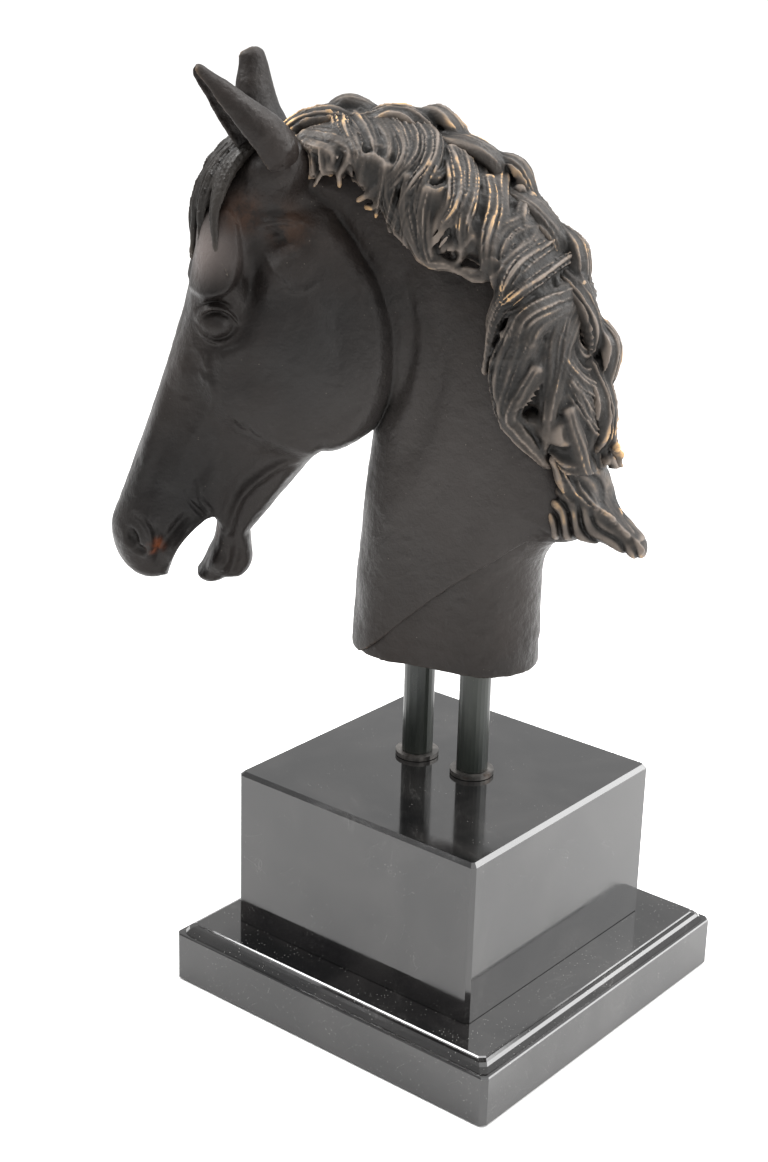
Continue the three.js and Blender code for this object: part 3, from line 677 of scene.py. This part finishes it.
def forelock_lock(share, start, end, width, thick, strands):
    """A lock lying over the forehead; the share is -1 at its near edge and 1 at its far edge."""
    t = np.linspace(0, 1, 5)
    v = share * (13 + 25 * t) - 1
    lift = 4 - 0.01 * v**2
    turn = np.radians(start + (end - start) * t)
    u = FOREHEAD[0] + (FOREHEAD_RADII[0] + lift) * np.cos(turn)
    z = FOREHEAD[1] + (FOREHEAD_RADII[1] + lift) * np.sin(turn)
    return np.stack([u, v, z], 1), width, thick, strands


def forelock_locks():
    locks = []
    for k in range(FORELOCK_FAN):
        share = -1 + 2 * k / (FORELOCK_FAN - 1)
        end = 186 - 9 * abs(share) + 5 * (k % 2)
        locks.append(forelock_lock(share, 76, end, 15 - 3 * abs(share), 8, 4))
    locks.append(forelock_lock(-1.18, 118, 194, 4.5, 4, 2))
    return locks


def crest_locks():
    """Locks along the top of the mane, each overlapping the next."""
    locks = []
    for k in range(CREST_LOCK_COUNT):
        start = POLL_ANGLE - CREST_LOCK_STEP * k
        lean = 7 if k % 2 else -3
        offset = np.array([11, 19 + lean / 2, 16 - lean / 3, 5])
        along = on_crest(start - np.array([0, 7, 14, 21]), offset)
        locks.append((np.insert(along, 1, [lean, lean, lean, 0.5 * lean], axis=1), 21, 14, 4))
    return locks


def withers_locks():
    """A fan of locks from the neck's rear that meet in one tip."""
    locks = []
    for v in range(-26, 30, 10):
        reach = 1 - abs(v + 6) / 55
        tip = (84 + 52 * reach, 388 - 52 * reach)
        path = bow((84, 392), (96 - 0.2 * abs(v), 366), tip, 5)
        across = np.linspace(v, 0.3 * v - 6, 5)
        locks.append((np.insert(path, 1, across, axis=1), 14, 10, 3))
    return locks


# Groups of side locks: (first and last degrees, how many, offset at the root, fall below the
# crest, belly, sweep to the rear, curl, width, thickness). Angles are along the crest.
FALL_GROUPS = (
    (110, 100, 4, 12, 17, 0, 8, 6, 12, 9),
    (104, 92, 3, 16, 16, -6, 10, 3, 16, 12),
    (92, 80, 5, 15, 40, -6, 2, 11, 14, 12),
    (80, 66, 4, -8, 42, 12, 24, -6, 14, 10),
    (70, 56, 5, 12, 28, 0, 12, 5, 14, 11),
    (58, 46, 4, 17, -8, 3, 12, 0, 15, 12),
    (47, 39, 3, 17, 16, 0, 8, -5, 12, 10),
    (42, 26, 6, 18, 36, 0, 14, -5, 15, 12),
    (30, 20, 4, -8, 18, 20, 24, 0, 16, 11),
    (33, 27, 2, 15, 14, 0, 28, -3, 16, 11),
    (20, 10, 4, 6, -24, 0, 20, 0, 15, 11),
)


def hem(degrees):
    """Lower edge of the mass of hair as an offset from the crest, with its tongues."""
    low = -MANE_HANG + REAR_GATHER * smoothstep(REAR_FROM, REAR_TO, degrees)
    for place, depth, spread_by in TONGUES:
        low = low - depth * np.exp(-(((degrees - place) / spread_by) ** 2))
    return low


def group_lines(side):
    """The side locks as (u, z) lines with their sizes; the far side hangs a little looser."""
    lines = []
    k = 0
    for first, last, count, root, fall, belly, sweep, curl, width, thick in FALL_GROUPS:
        for j in range(count):
            t = np.linspace(0, 1, 8)
            share = j / (count - 1)
            k += 1
            loose = 1.5 * math.sin(2.1 * k) + (2.0 * math.cos(1.7 * k) if side > 0 else 0)
            wave = 2.6 * t * np.sin(2 * np.pi * t * 1.15 + 0.9 * k)
            degrees = first + (last - first) * share + loose - sweep * t
            degrees = degrees - curl * np.sin(np.pi * t) + wave
            depth = (root + fall * (1 + 0.14 * math.sin(3.7 * k))) * t**1.25
            offset = root - depth - belly * np.sin(np.pi * t)
            line = on_crest(degrees, np.maximum(offset, hem(degrees) - TIP_OVERHANG))
            strands = 2 if width < 12 else 3 + k % 2
            lines.append((line, width * (1 + 0.1 * math.cos(2.9 * k)), thick, strands, k % 3))
    return lines


def mane_line():
    """Outline of the mass of hair: the crest pushed out, and a lower edge with its tongues."""
    degrees = np.linspace(108, -14, 44)
    rear = smoothstep(REAR_FROM, REAR_TO, degrees)
    upper = on_crest(degrees, MANE_LIFT + REAR_LIFT * rear)
    return np.concatenate([upper, on_crest(degrees, hem(degrees))[::-1]])


MANE_LINE = mane_line()
MANE_HALF = [
    (-110, 575, 36), (-80, 565, 41), (-50, 555, 45), (-20, 540, 47), (10, 525, 48), (40, 505, 47),
    (55, 470, 46), (60, 430, 44), (75, 410, 39), (90, 440, 33), (100, 400, 28), (100, 370, 32),
    (105, 350, 30),
]
MANE_ROUND = [
    (-110, 588, 34), (-60, 590, 36), (0, 576, 40), (50, 545, 42), (85, 500, 42), (94, 450, 34),
    (106, 400, 20), (-105, 562, 5), (-60, 542, 6), (0, 505, 6), (50, 495, 6), (44, 440, 6),
    (70, 408, 7), (0, 545, 18), (90, 365, 12), (112, 352, 12),
]


def mane_side(points, side, lift):
    """Lays (u, z) points on one side of the mane, lifted off it."""
    low = np.array([-150.0, -1.0, 320.0])
    plane = Field(low, (150.0, 1.0, 620.0), 1.0)
    mass = Profile(plane, MANE_LINE, MANE_HALF, MANE_ROUND, MANE_SPREAD)
    edge = np.clip(1 - mass.depth / mass.rounding, 0, 1)
    crest = smoothstep(8, 18, mass.rounding)
    half = mass.half * (1 - crest + crest * np.sqrt(1 - edge**2))
    placed = []
    for line in points:
        q = np.array(line, float)
        at = q - low[[0, 2]]
        v = sample(half[:, None, :].repeat(2, 1), np.stack([at[:, 0], 0 * at[:, 0], at[:, 1]], 1))
        placed.append(np.stack([q[:, 0], side * (v + lift[len(placed)]), q[:, 1]], 1))
    return placed


def fall_locks(side):
    """The side locks laid on the mane."""
    rows = group_lines(side)
    placed = mane_side([row[0] for row in rows], side, [row[4] - 0.5 for row in rows])
    for p in placed:
        p[:, 1] -= side * TIP_SINK * np.linspace(0, 1, len(p)) ** 3
    return [(p, *row[1:4]) for p, row in zip(placed, rows)]


def mane_bed(field, side):
    """A streaked mass of hair over the neck, on one side of the middle plane."""
    u, v, z = field.points(EVERYWHERE)
    mass = Profile(field, MANE_LINE, MANE_HALF, MANE_ROUND, MANE_SPREAD)
    flow = np.arctan2(mass.gz - 430, mass.gu + 70)[:, None, :].astype(np.float32)
    bend = 0.16 * np.sin(0.09 * v + 9 * flow) + 0.07 * np.sin(0.21 * v - 14 * flow)
    coarse = np.abs(np.sin(15 * (flow + bend)))
    fine = np.abs(np.sin(52 * (flow + 0.7 * bend)))
    bed = mass.inflate(v, grow=1.0, power=2.0) + 2.8 * (1 - coarse) ** 1.2 - 1.2 * (1 - fine) ** 1.3
    return np.maximum(bed, -2.0 - side * v)


WITHERS_LINE = np.concatenate([
    bow((80, 402), (104, 404), (106, 378)),
    bow((106, 378), (111, 354), (136, 341))[1:],
    arc((131, 334), (7, 7), 60, -90, 8),
    bow((129, 327), (108, 338), (80, 335))[1:],
    [(76, 342), (76, 390)],
])
WITHERS_HALF = [
    (82, 390, 26), (84, 350, 30), (98, 380, 22), (100, 350, 24), (112, 345, 18), (130, 336, 11),
]
WITHERS_ROOT, WITHERS_REACH = (86, 392), (44, -54)
# The lock's edge is rounder at its root than at its tip, and sharp underneath.
WITHERS_ROUND = [
    (WITHERS_ROOT[0] + WITHERS_REACH[0] * t, WITHERS_ROOT[1] + WITHERS_REACH[1] * t, 16 - 8 * t)
    for t in (0, 0.3, 0.65, 1)
] + [(84, 340, 7)]


def withers_mass(field):
    """The body of the lowest lock, streaked along its length."""
    u, v, z = field.points(EVERYWHERE)
    mass = Profile(field, WITHERS_LINE, WITHERS_HALF, WITHERS_ROUND, WITHERS_SPREAD)
    run = (0.79 * mass.gu + 0.61 * mass.gz)[:, None, :].astype(np.float32)
    drift = 1.3 * np.sin(0.11 * (mass.gz - mass.gu))[:, None, :].astype(np.float32)
    streak = np.abs(np.sin(0.36 * run + drift + 0.13 * v))
    return mass.inflate(v, power=2.2) + 1.8 * (1 - streak) ** 1.4


def cast_hair(name, low, high, locks, bed_side=0, wide=1.0, more=0, mass=None):
    """Casts a group of locks, over a streaked bed or a mass where one is given."""
    field = Field(low, high, FINE_HAIR)
    if bed_side:
        field.value[:] = np.minimum(mane_bed(field, bed_side), FAR)
    if mass is not None:
        field.value[:] = np.minimum(mass(field), FAR)
    for points, width, thick, strands in locks:
        add_lock(field, points, wide * width, thick, strands + more)
    return cast(name, field, rough=((7.0, 0.35), (2.4, 0.16)))


# ---------------- materials
class Shade:
    """A node material built up in code, in object coordinates (metres)."""

    def __init__(self, name):
        self.material = bpy.data.materials.new(name)
        self.material.use_nodes = True
        self.nodes = self.material.node_tree.nodes
        self.links = self.material.node_tree.links
        self.bsdf = self.nodes["Principled BSDF"]
        self.place = self.nodes.new("ShaderNodeTexCoord").outputs["Object"]

    def node(self, kind, sockets=None, **settings):
        """A node with its settings, then its sockets, each linked or set."""
        n = self.nodes.new(kind)
        for key, value in settings.items():
            setattr(n, key, value)
        for key, value in (sockets or {}).items():
            self.feed(n.inputs[key], value)
        return n

    def feed(self, socket, value):
        if isinstance(value, bpy.types.NodeSocket):
            self.links.new(value, socket)
        else:
            socket.default_value = value

    def stretched(self, scale):
        m = self.node("ShaderNodeMapping", {"Vector": self.place, "Scale": scale})
        return m.outputs["Vector"]

    def noise(self, scale, detail=4.0, rough=0.55, place=None, distortion=0.0):
        sockets = {"Vector": place or self.place, "Scale": scale, "Detail": detail}
        sockets.update({"Roughness": rough, "Distortion": distortion})
        return self.node("ShaderNodeTexNoise", sockets).outputs["Fac"]

    def cells(self, scale):
        sockets = {"Vector": self.place, "Scale": scale}
        return self.node("ShaderNodeTexVoronoi", sockets, feature="F1").outputs["Distance"]

    def attribute(self, name):
        return self.node("ShaderNodeAttribute", attribute_name=name).outputs["Fac"]

    def span(self, value, low, high, to_low=0.0, to_high=1.0):
        sockets = {"Value": value, "From Min": low, "From Max": high}
        sockets.update({"To Min": to_low, "To Max": to_high})
        n = self.node("ShaderNodeMapRange", sockets, interpolation_type="SMOOTHSTEP")
        return n.outputs["Result"]

    def near(self, place, radius):
        """1 at a spot of the straight bust, 0 beyond the radius in millimetres."""
        spot = turned(np.array([place], float))[0]
        n = self.node("ShaderNodeVectorMath", {0: self.place, 1: spot}, operation="DISTANCE")
        return self.span(n.outputs["Value"], radius / 1000, 0.0)

    def math(self, kind, a, b=0.0):
        return self.node("ShaderNodeMath", {0: a, 1: b}, operation=kind).outputs[0]

    def mix(self, fac, a, b):
        n = self.node("ShaderNodeMix", {"Factor": fac, "A": a, "B": b}, data_type="RGBA")
        return n.outputs["Result"]

    def bump(self, height, strength, distance):
        sockets = {"Height": height, "Strength": strength, "Distance": distance}
        n = self.node("ShaderNodeBump", sockets)
        self.links.new(n.outputs["Normal"], self.bsdf.inputs["Normal"])

    def finish(self, colour, rough, metal=0.0, specular=0.5, tint=(1.0, 1.0, 1.0, 1.0)):
        self.feed(self.bsdf.inputs["Base Color"], colour)
        self.feed(self.bsdf.inputs["Roughness"], rough)
        self.feed(self.bsdf.inputs["Metallic"], metal)
        self.bsdf.inputs["Specular IOR Level"].default_value = specular
        self.bsdf.inputs["Specular Tint"].default_value = tint
        return self.material


def rgb(r, g, b):
    return (r, g, b, 1.0)


# Painted shade: the black laid in the creases.
CREASE_BLACK = rgb(0.006, 0.0055, 0.005)
DUST = rgb(0.35, 0.31, 0.26)
WAX_TINT = rgb(1.0, 0.975, 0.955)


def bronze(
    name, tones, gold_at, rough_at, crease_at, proud, specular, stains=(), painted_shade_and_light=()
):
    """Dark patinated bronze, rubbed to gold on its proud edges, painted paler there as a highlight
    and painted black in its creases as shade.

    The tones are dark, middle, gold and pale; the pale tone is the painted highlight. gold_at and
    crease_at are ranges of the mesh attribute that is high on proud edges and low in creases,
    rough_at is a range of roughness, and proud is where the painted pale highlight on the edges
    starts.
    Stains and the spots of painted shade and light are places on the straight bust with a radius
    and a colour.
    """
    dark, middle, gold, pale = tones
    s = Shade(name)
    wear_and_painted_light = s.attribute("wear_and_painted_light")
    patches = s.noise(38, 5, 0.6)
    specks = s.noise(520, 3, 0.6)
    cloud = s.noise(9, 3, 0.5)
    mottle = s.math("ADD", cloud, s.math("MULTIPLY", patches, 0.5))
    base = s.mix(s.span(mottle, 0.5, 0.95), dark, middle)
    # painted shade and painted light: spots of the bust made darker or lighter
    for place, radius, colour in painted_shade_and_light:
        base = s.mix(s.math("MULTIPLY", s.near(place, radius), 0.8), base, colour)
    # painted shade: creases turned black
    crease = s.span(wear_and_painted_light, *crease_at)
    base = s.mix(crease, CREASE_BLACK, base)
    zones = s.math("MULTIPLY", s.span(patches, 0.4, 0.55), s.span(s.noise(22, 2), 0.46, 0.58))
    # painted highlight: the pale tone laid on the proud edges
    base = s.mix(s.math("MULTIPLY", s.span(wear_and_painted_light, proud, proud + 0.22), 0.6), base, pale)
    rubbed = s.math("MULTIPLY", s.span(wear_and_painted_light, *gold_at), zones)
    base = s.mix(rubbed, base, gold)
    dust = s.math("MULTIPLY", s.span(s.cells(260), 0.10, 0.04), s.span(s.noise(60), 0.52, 0.66))
    base = s.mix(s.math("MULTIPLY", dust, 0.35), base, DUST)
    for place, radius, colour in stains:
        spot = s.math("MULTIPLY", s.near(place, radius), s.span(patches, 0.4, 0.55))
        base = s.mix(spot, base, colour)
    wiped = s.noise(30, 4, 0.6, place=s.stretched((1.0, 1.0, 0.35)), distortion=0.8)
    uneven = s.math("ADD", s.math("MULTIPLY", patches, 0.5), s.math("MULTIPLY", wiped, 0.5))
    uneven = s.math("ADD", uneven, s.math("MULTIPLY", specks, 0.3))
    rough = s.span(uneven, 0.45, 0.8, rough_at[0] - 0.06, rough_at[1] + 0.06)
    s.bump(s.math("ADD", s.math("MULTIPLY", specks, 0.5), s.noise(160, 4)), 0.6, 0.0012)
    return s.finish(base, rough, s.math("MULTIPLY", rubbed, 0.5), specular, WAX_TINT)


def marble(name, fleck_low):
    """Polished black marble with faint veins and small pale flecks."""
    s = Shade(name)
    cloud = s.noise(14, 6, 0.6, distortion=0.6)
    veins = s.math("ABSOLUTE", s.math("SUBTRACT", s.noise(5.5, 9, 0.62, distortion=1.4), 0.5))
    vein = s.math("MULTIPLY", s.span(veins, 0.006, 0.0), s.span(cloud, 0.45, 0.7))
    flecked = s.span(s.noise(45, 3), fleck_low, fleck_low + 0.16)
    fleck = s.math("MULTIPLY", s.span(s.cells(420), 0.13, 0.05), flecked)
    base = s.mix(s.span(cloud, 0.35, 0.75), rgb(0.003, 0.003, 0.0033), rgb(0.018, 0.017, 0.0165))
    base = s.mix(s.math("MULTIPLY", vein, 0.08), base, rgb(0.4, 0.39, 0.37))
    base = s.mix(s.math("MULTIPLY", fleck, 0.7), base, rgb(0.5, 0.49, 0.46))
    smear = s.noise(26, 4, 0.6, place=s.stretched((1.0, 1.0, 3.0)))
    rough = s.span(smear, 0.35, 0.75, 0.05, 0.14)
    s.bump(s.noise(90, 4), 0.03, 0.0003)
    return s.finish(base, rough, 0.0, 0.85)


def zinc():
    s = Shade("zinc_plate")
    blotch = s.noise(110, 5, 0.6)
    brushed = s.noise(300, 3, 0.6, place=s.stretched((1.0, 1.0, 6.0)))
    base = s.mix(s.span(blotch, 0.35, 0.7), rgb(0.10, 0.095, 0.09), rgb(0.24, 0.225, 0.21))
    rust = s.math("MULTIPLY", s.span(s.noise(70, 4), 0.54, 0.68), 0.7)
    base = s.mix(rust, base, rgb(0.075, 0.045, 0.028))
    s.bump(brushed, 0.12, 0.0003)
    return s.finish(base, s.span(blotch, 0.3, 0.7, 0.28, 0.46), 0.85, 0.5)


def tube_paint():
    s = Shade("satin_tube_paint")
    drift = s.noise(40, 4, 0.55, place=s.stretched((1.0, 1.0, 0.25)))
    base = s.mix(s.span(drift, 0.35, 0.7), rgb(0.010, 0.013, 0.011), rgb(0.03, 0.034, 0.028))
    chips = s.math("MULTIPLY", s.span(s.cells(300), 0.1, 0.03), s.span(s.noise(55), 0.56, 0.7))
    base = s.mix(s.math("MULTIPLY", chips, 0.6), base, rgb(0.25, 0.22, 0.18))
    s.bump(s.noise(260, 3), 0.15, 0.0003)
    return s.finish(base, s.span(drift, 0.3, 0.7, 0.26, 0.42), 0.2, 0.5)


def felt():
    s = Shade("black_felt")
    fibre = s.noise(900, 4, 0.7)
    base = s.mix(s.span(fibre, 0.3, 0.7), rgb(0.012, 0.012, 0.012), rgb(0.04, 0.039, 0.037))
    s.bump(fibre, 0.6, 0.0006)
    return s.finish(base, s.span(fibre, 0.3, 0.7, 0.85, 0.98), 0.0, 0.2)


def bare_steel():
    s = Shade("bare_steel")
    mill = s.noise(150, 4, 0.6, place=s.stretched((4.0, 1.0, 1.0)))
    base = s.mix(s.span(mill, 0.3, 0.7), rgb(0.22, 0.21, 0.2), rgb(0.4, 0.39, 0.37))
    s.bump(mill, 0.15, 0.0003)
    return s.finish(base, s.span(mill, 0.3, 0.7, 0.35, 0.5), 0.9, 0.5)


# ---------------- putting it together
# Rust at the nostril, the mouth and below the ears.
SKIN_STAINS = [
    ((-197, -27, 313), 9, rgb(0.16, 0.045, 0.016)),
    ((-165, -10, 320), 14, rgb(0.1, 0.03, 0.02)),
    ((-142, -36, 532), 20, rgb(0.04, 0.02, 0.012)),
    ((-113, -38, 524), 22, rgb(0.035, 0.019, 0.012)),
]
# Painted shade over the cheek and nose, painted light over the neck and a painted highlight on the
# brow.
SKIN_PAINTED_SHADE_AND_LIGHT = [
    ((-88, -42, 438), 88, rgb(0.0062, 0.0064, 0.0068)),
    ((-186, -26, 350), 95, rgb(0.006, 0.0058, 0.006)),
    ((10, -40, 360), 170, rgb(0.040, 0.036, 0.034)),
    ((-162, -30, 508), 30, rgb(0.14, 0.118, 0.11)),
]
# The fourth tone of each set is the painted highlight on the proud edges.
SKIN_TONES = (
    rgb(0.0048, 0.0043, 0.0042), rgb(0.016, 0.0125, 0.011),
    rgb(0.20, 0.12, 0.06), rgb(0.05, 0.042, 0.036),
)
HAIR_TONES = (
    rgb(0.016, 0.0135, 0.0115), rgb(0.052, 0.043, 0.036),
    rgb(0.50, 0.32, 0.16), rgb(0.22, 0.18, 0.15),
)
FORELOCK_TONES = (
    rgb(0.009, 0.008, 0.007), rgb(0.026, 0.022, 0.019),
    rgb(0.2, 0.12, 0.06), rgb(0.09, 0.075, 0.062),
)
SKIN = bronze(
    "bronze_skin", SKIN_TONES, gold_at=(0.30, 0.6), rough_at=(0.36, 0.5), crease_at=(-0.3, -0.04),
    proud=0.2, specular=0.2, stains=SKIN_STAINS, painted_shade_and_light=SKIN_PAINTED_SHADE_AND_LIGHT,
)
HAIR = bronze(
    "bronze_hair", HAIR_TONES, gold_at=(0.1, 0.24), rough_at=(0.4, 0.58), crease_at=(-0.1, 0.12),
    proud=0.05, specular=0.3,
)
LOCK = bronze(
    "bronze_forelock", FORELOCK_TONES, gold_at=(0.8, 1.2), rough_at=(0.38, 0.52),
    crease_at=(-0.1, 0.1), proud=0.25, specular=0.24,
)


def dress(piece, node, material):
    """Gives a piece its material and stands it in for its CAD node."""
    piece.data.materials.append(material)
    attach(piece, "root")
    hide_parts(node)


dress(cast_body(), "head_casting", SKIN)
dress(cast_socle(), "neck_socle", SKIN)
dress(cast_ear("horse_ear_left", NEAR_EAR, NEAR_EAR_SIZE, -1), "ear_left", SKIN)
dress(cast_ear("horse_ear_right", FAR_EAR, FAR_EAR_SIZE, 1), "ear_right", SKIN)
fringe = cast_hair("horse_forelock", (-184, -56, 478), (-100, 52, 594), forelock_locks())
dress(fringe, "forelock", LOCK)
near = cast_hair("horse_mane_fall", (-126, -60, 384), (134, 4, 606), fall_locks(-1), -1)
dress(near, "mane_fall", HAIR)
far_locks = fall_locks(1) + crest_locks()
far = cast_hair("horse_mane_crest", (-130, -20, 384), (126, 60, 606), far_locks, 1, 1.1, 1)
dress(far, "mane_crest", HAIR)
tail_low, tail_high = (66, -50, 318), (146, 44, 412)
tail = cast_hair("horse_withers_lock", tail_low, tail_high, withers_locks(), mass=withers_mass)
dress(tail, "withers_lock", HAIR)

ARRIS = 0.0004
MARBLE = marble("polished_black_marble", 0.52)
CHIPPED = marble("chipped_black_marble", 0.4)
ZINC, PAINT, FELT_CLOTH, STEEL = zinc(), tube_paint(), felt(), bare_steel()
FINISH = {
    "base_felt": FELT_CLOTH, "plinth_slab": CHIPPED, "plinth_block": MARBLE,
    "stud_front": ZINC, "stud_rear": ZINC, "tube_front": PAINT, "tube_rear": PAINT,
    "armature_plate": STEEL,
}
for name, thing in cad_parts.items():
    if thing.hide_render:
        continue
    material = FINISH.get(name, ZINC)
    thing.data.materials.clear()
    thing.data.materials.append(material)
    if material in (MARBLE, CHIPPED):
        edge = thing.modifiers.new("arris", "BEVEL")
        edge.width = ARRIS
        edge.segments = 3
        edge.limit_method = "ANGLE"

# ---------------- floor, light and camera
FLOOR = 40
floor_mesh = bpy.data.meshes.new("floor")
corners = [(-FLOOR, -FLOOR, 0), (FLOOR, -FLOOR, 0), (FLOOR, FLOOR, 0), (-FLOOR, FLOOR, 0)]
floor_mesh.from_pydata(corners, [], [(0, 1, 2, 3)])
floor = add_object("floor", floor_mesh)
paper = Shade("pale_paper")
paper_tone = paper.mix(paper.noise(3), rgb(0.86, 0.855, 0.85), rgb(0.88, 0.875, 0.87))
floor_mesh.materials.append(paper.finish(paper_tone, 0.85, 0.0, 0.2))

# The air glows evenly, a little less on the side away from the bright direction.
BRIGHT_SIDE = (0.62, 0.66, 0.42)
GLOW_FROM, GLOW_TO = (-0.75, 0.65), (0.62, 1.0)
world = bpy.data.worlds.new("studio")
bpy.context.scene.world = world
world.use_nodes = True
air = world.node_tree.nodes
toward = air.new("ShaderNodeVectorMath")
toward.operation = "DOT_PRODUCT"
toward.inputs[1].default_value = BRIGHT_SIDE
world.node_tree.links.new(air.new("ShaderNodeTexCoord").outputs["Generated"], toward.inputs[0])
glow = air.new("ShaderNodeMapRange")
glow.interpolation_type = "SMOOTHSTEP"
for socket, value in zip(("From Min", "From Max", "To Min", "To Max"), GLOW_FROM + GLOW_TO):
    glow.inputs[socket].default_value = value
world.node_tree.links.new(toward.outputs["Value"], glow.inputs["Value"])
world.node_tree.links.new(glow.outputs["Result"], air["Background"].inputs["Strength"])
air["Background"].inputs["Color"].default_value = rgb(1.0, 1.0, 1.0)


def lamp(name, place, target, size, power):
    data = bpy.data.lights.new(name, "AREA")
    data.shape = "RECTANGLE"
    data.size, data.size_y = size
    data.energy = power
    thing = add_object(name, data)
    direction = Vector(target) - Vector(place)
    thing.location = place
    thing.rotation_euler = direction.to_track_quat("-Z", "Y").to_euler()


SKY_POWER, SKY_SPREAD = 1.3, math.radians(70)
sun = bpy.data.lights.new("sky", "SUN")
sun.energy = SKY_POWER
sun.angle = SKY_SPREAD
add_object("sky", sun)

lamp("key", (-1.1, -0.6, 1.9), (0, 0, 0.4), (0.7, 0.7), 40)
lamp("fill", (1.8, 0.2, 1.0), (0, 0, 0.35), (1.4, 1.4), 16)
lamp("floor_glow", (1.5, 1.7, 1.3), (1.1, 1.4, 0), (1.6, 1.6), 60)
lamp("top", (0.3, 0.9, 2.0), (0, 0, 0.4), (1.2, 1.2), 26)

# The view is from the front of the plinth, turned towards its right corner, and from above.
AZIMUTH, ELEVATION, ROLL = math.radians(38.9), math.radians(20.3), math.radians(1.6)
VIEW_DISTANCE = 1.37
AIM = Vector((-0.064, -0.0016, 0.2776))
LENS, SENSOR = 62.45, 36
camera_data = bpy.data.cameras.new("camera")
camera_data.lens = LENS
camera_data.sensor_width = SENSOR
camera = add_object("camera", camera_data)
away = Vector((
    math.sin(AZIMUTH) * math.cos(ELEVATION),
    -math.cos(AZIMUTH) * math.cos(ELEVATION),
    math.sin(ELEVATION),
))
camera.location = AIM + VIEW_DISTANCE * away
camera.rotation_euler = (away.to_track_quat("Z", "Y") @ Quaternion((0, 0, 1), ROLL)).to_euler()
bpy.context.scene.camera = camera

bpy.context.scene.view_settings.view_transform = "Standard"
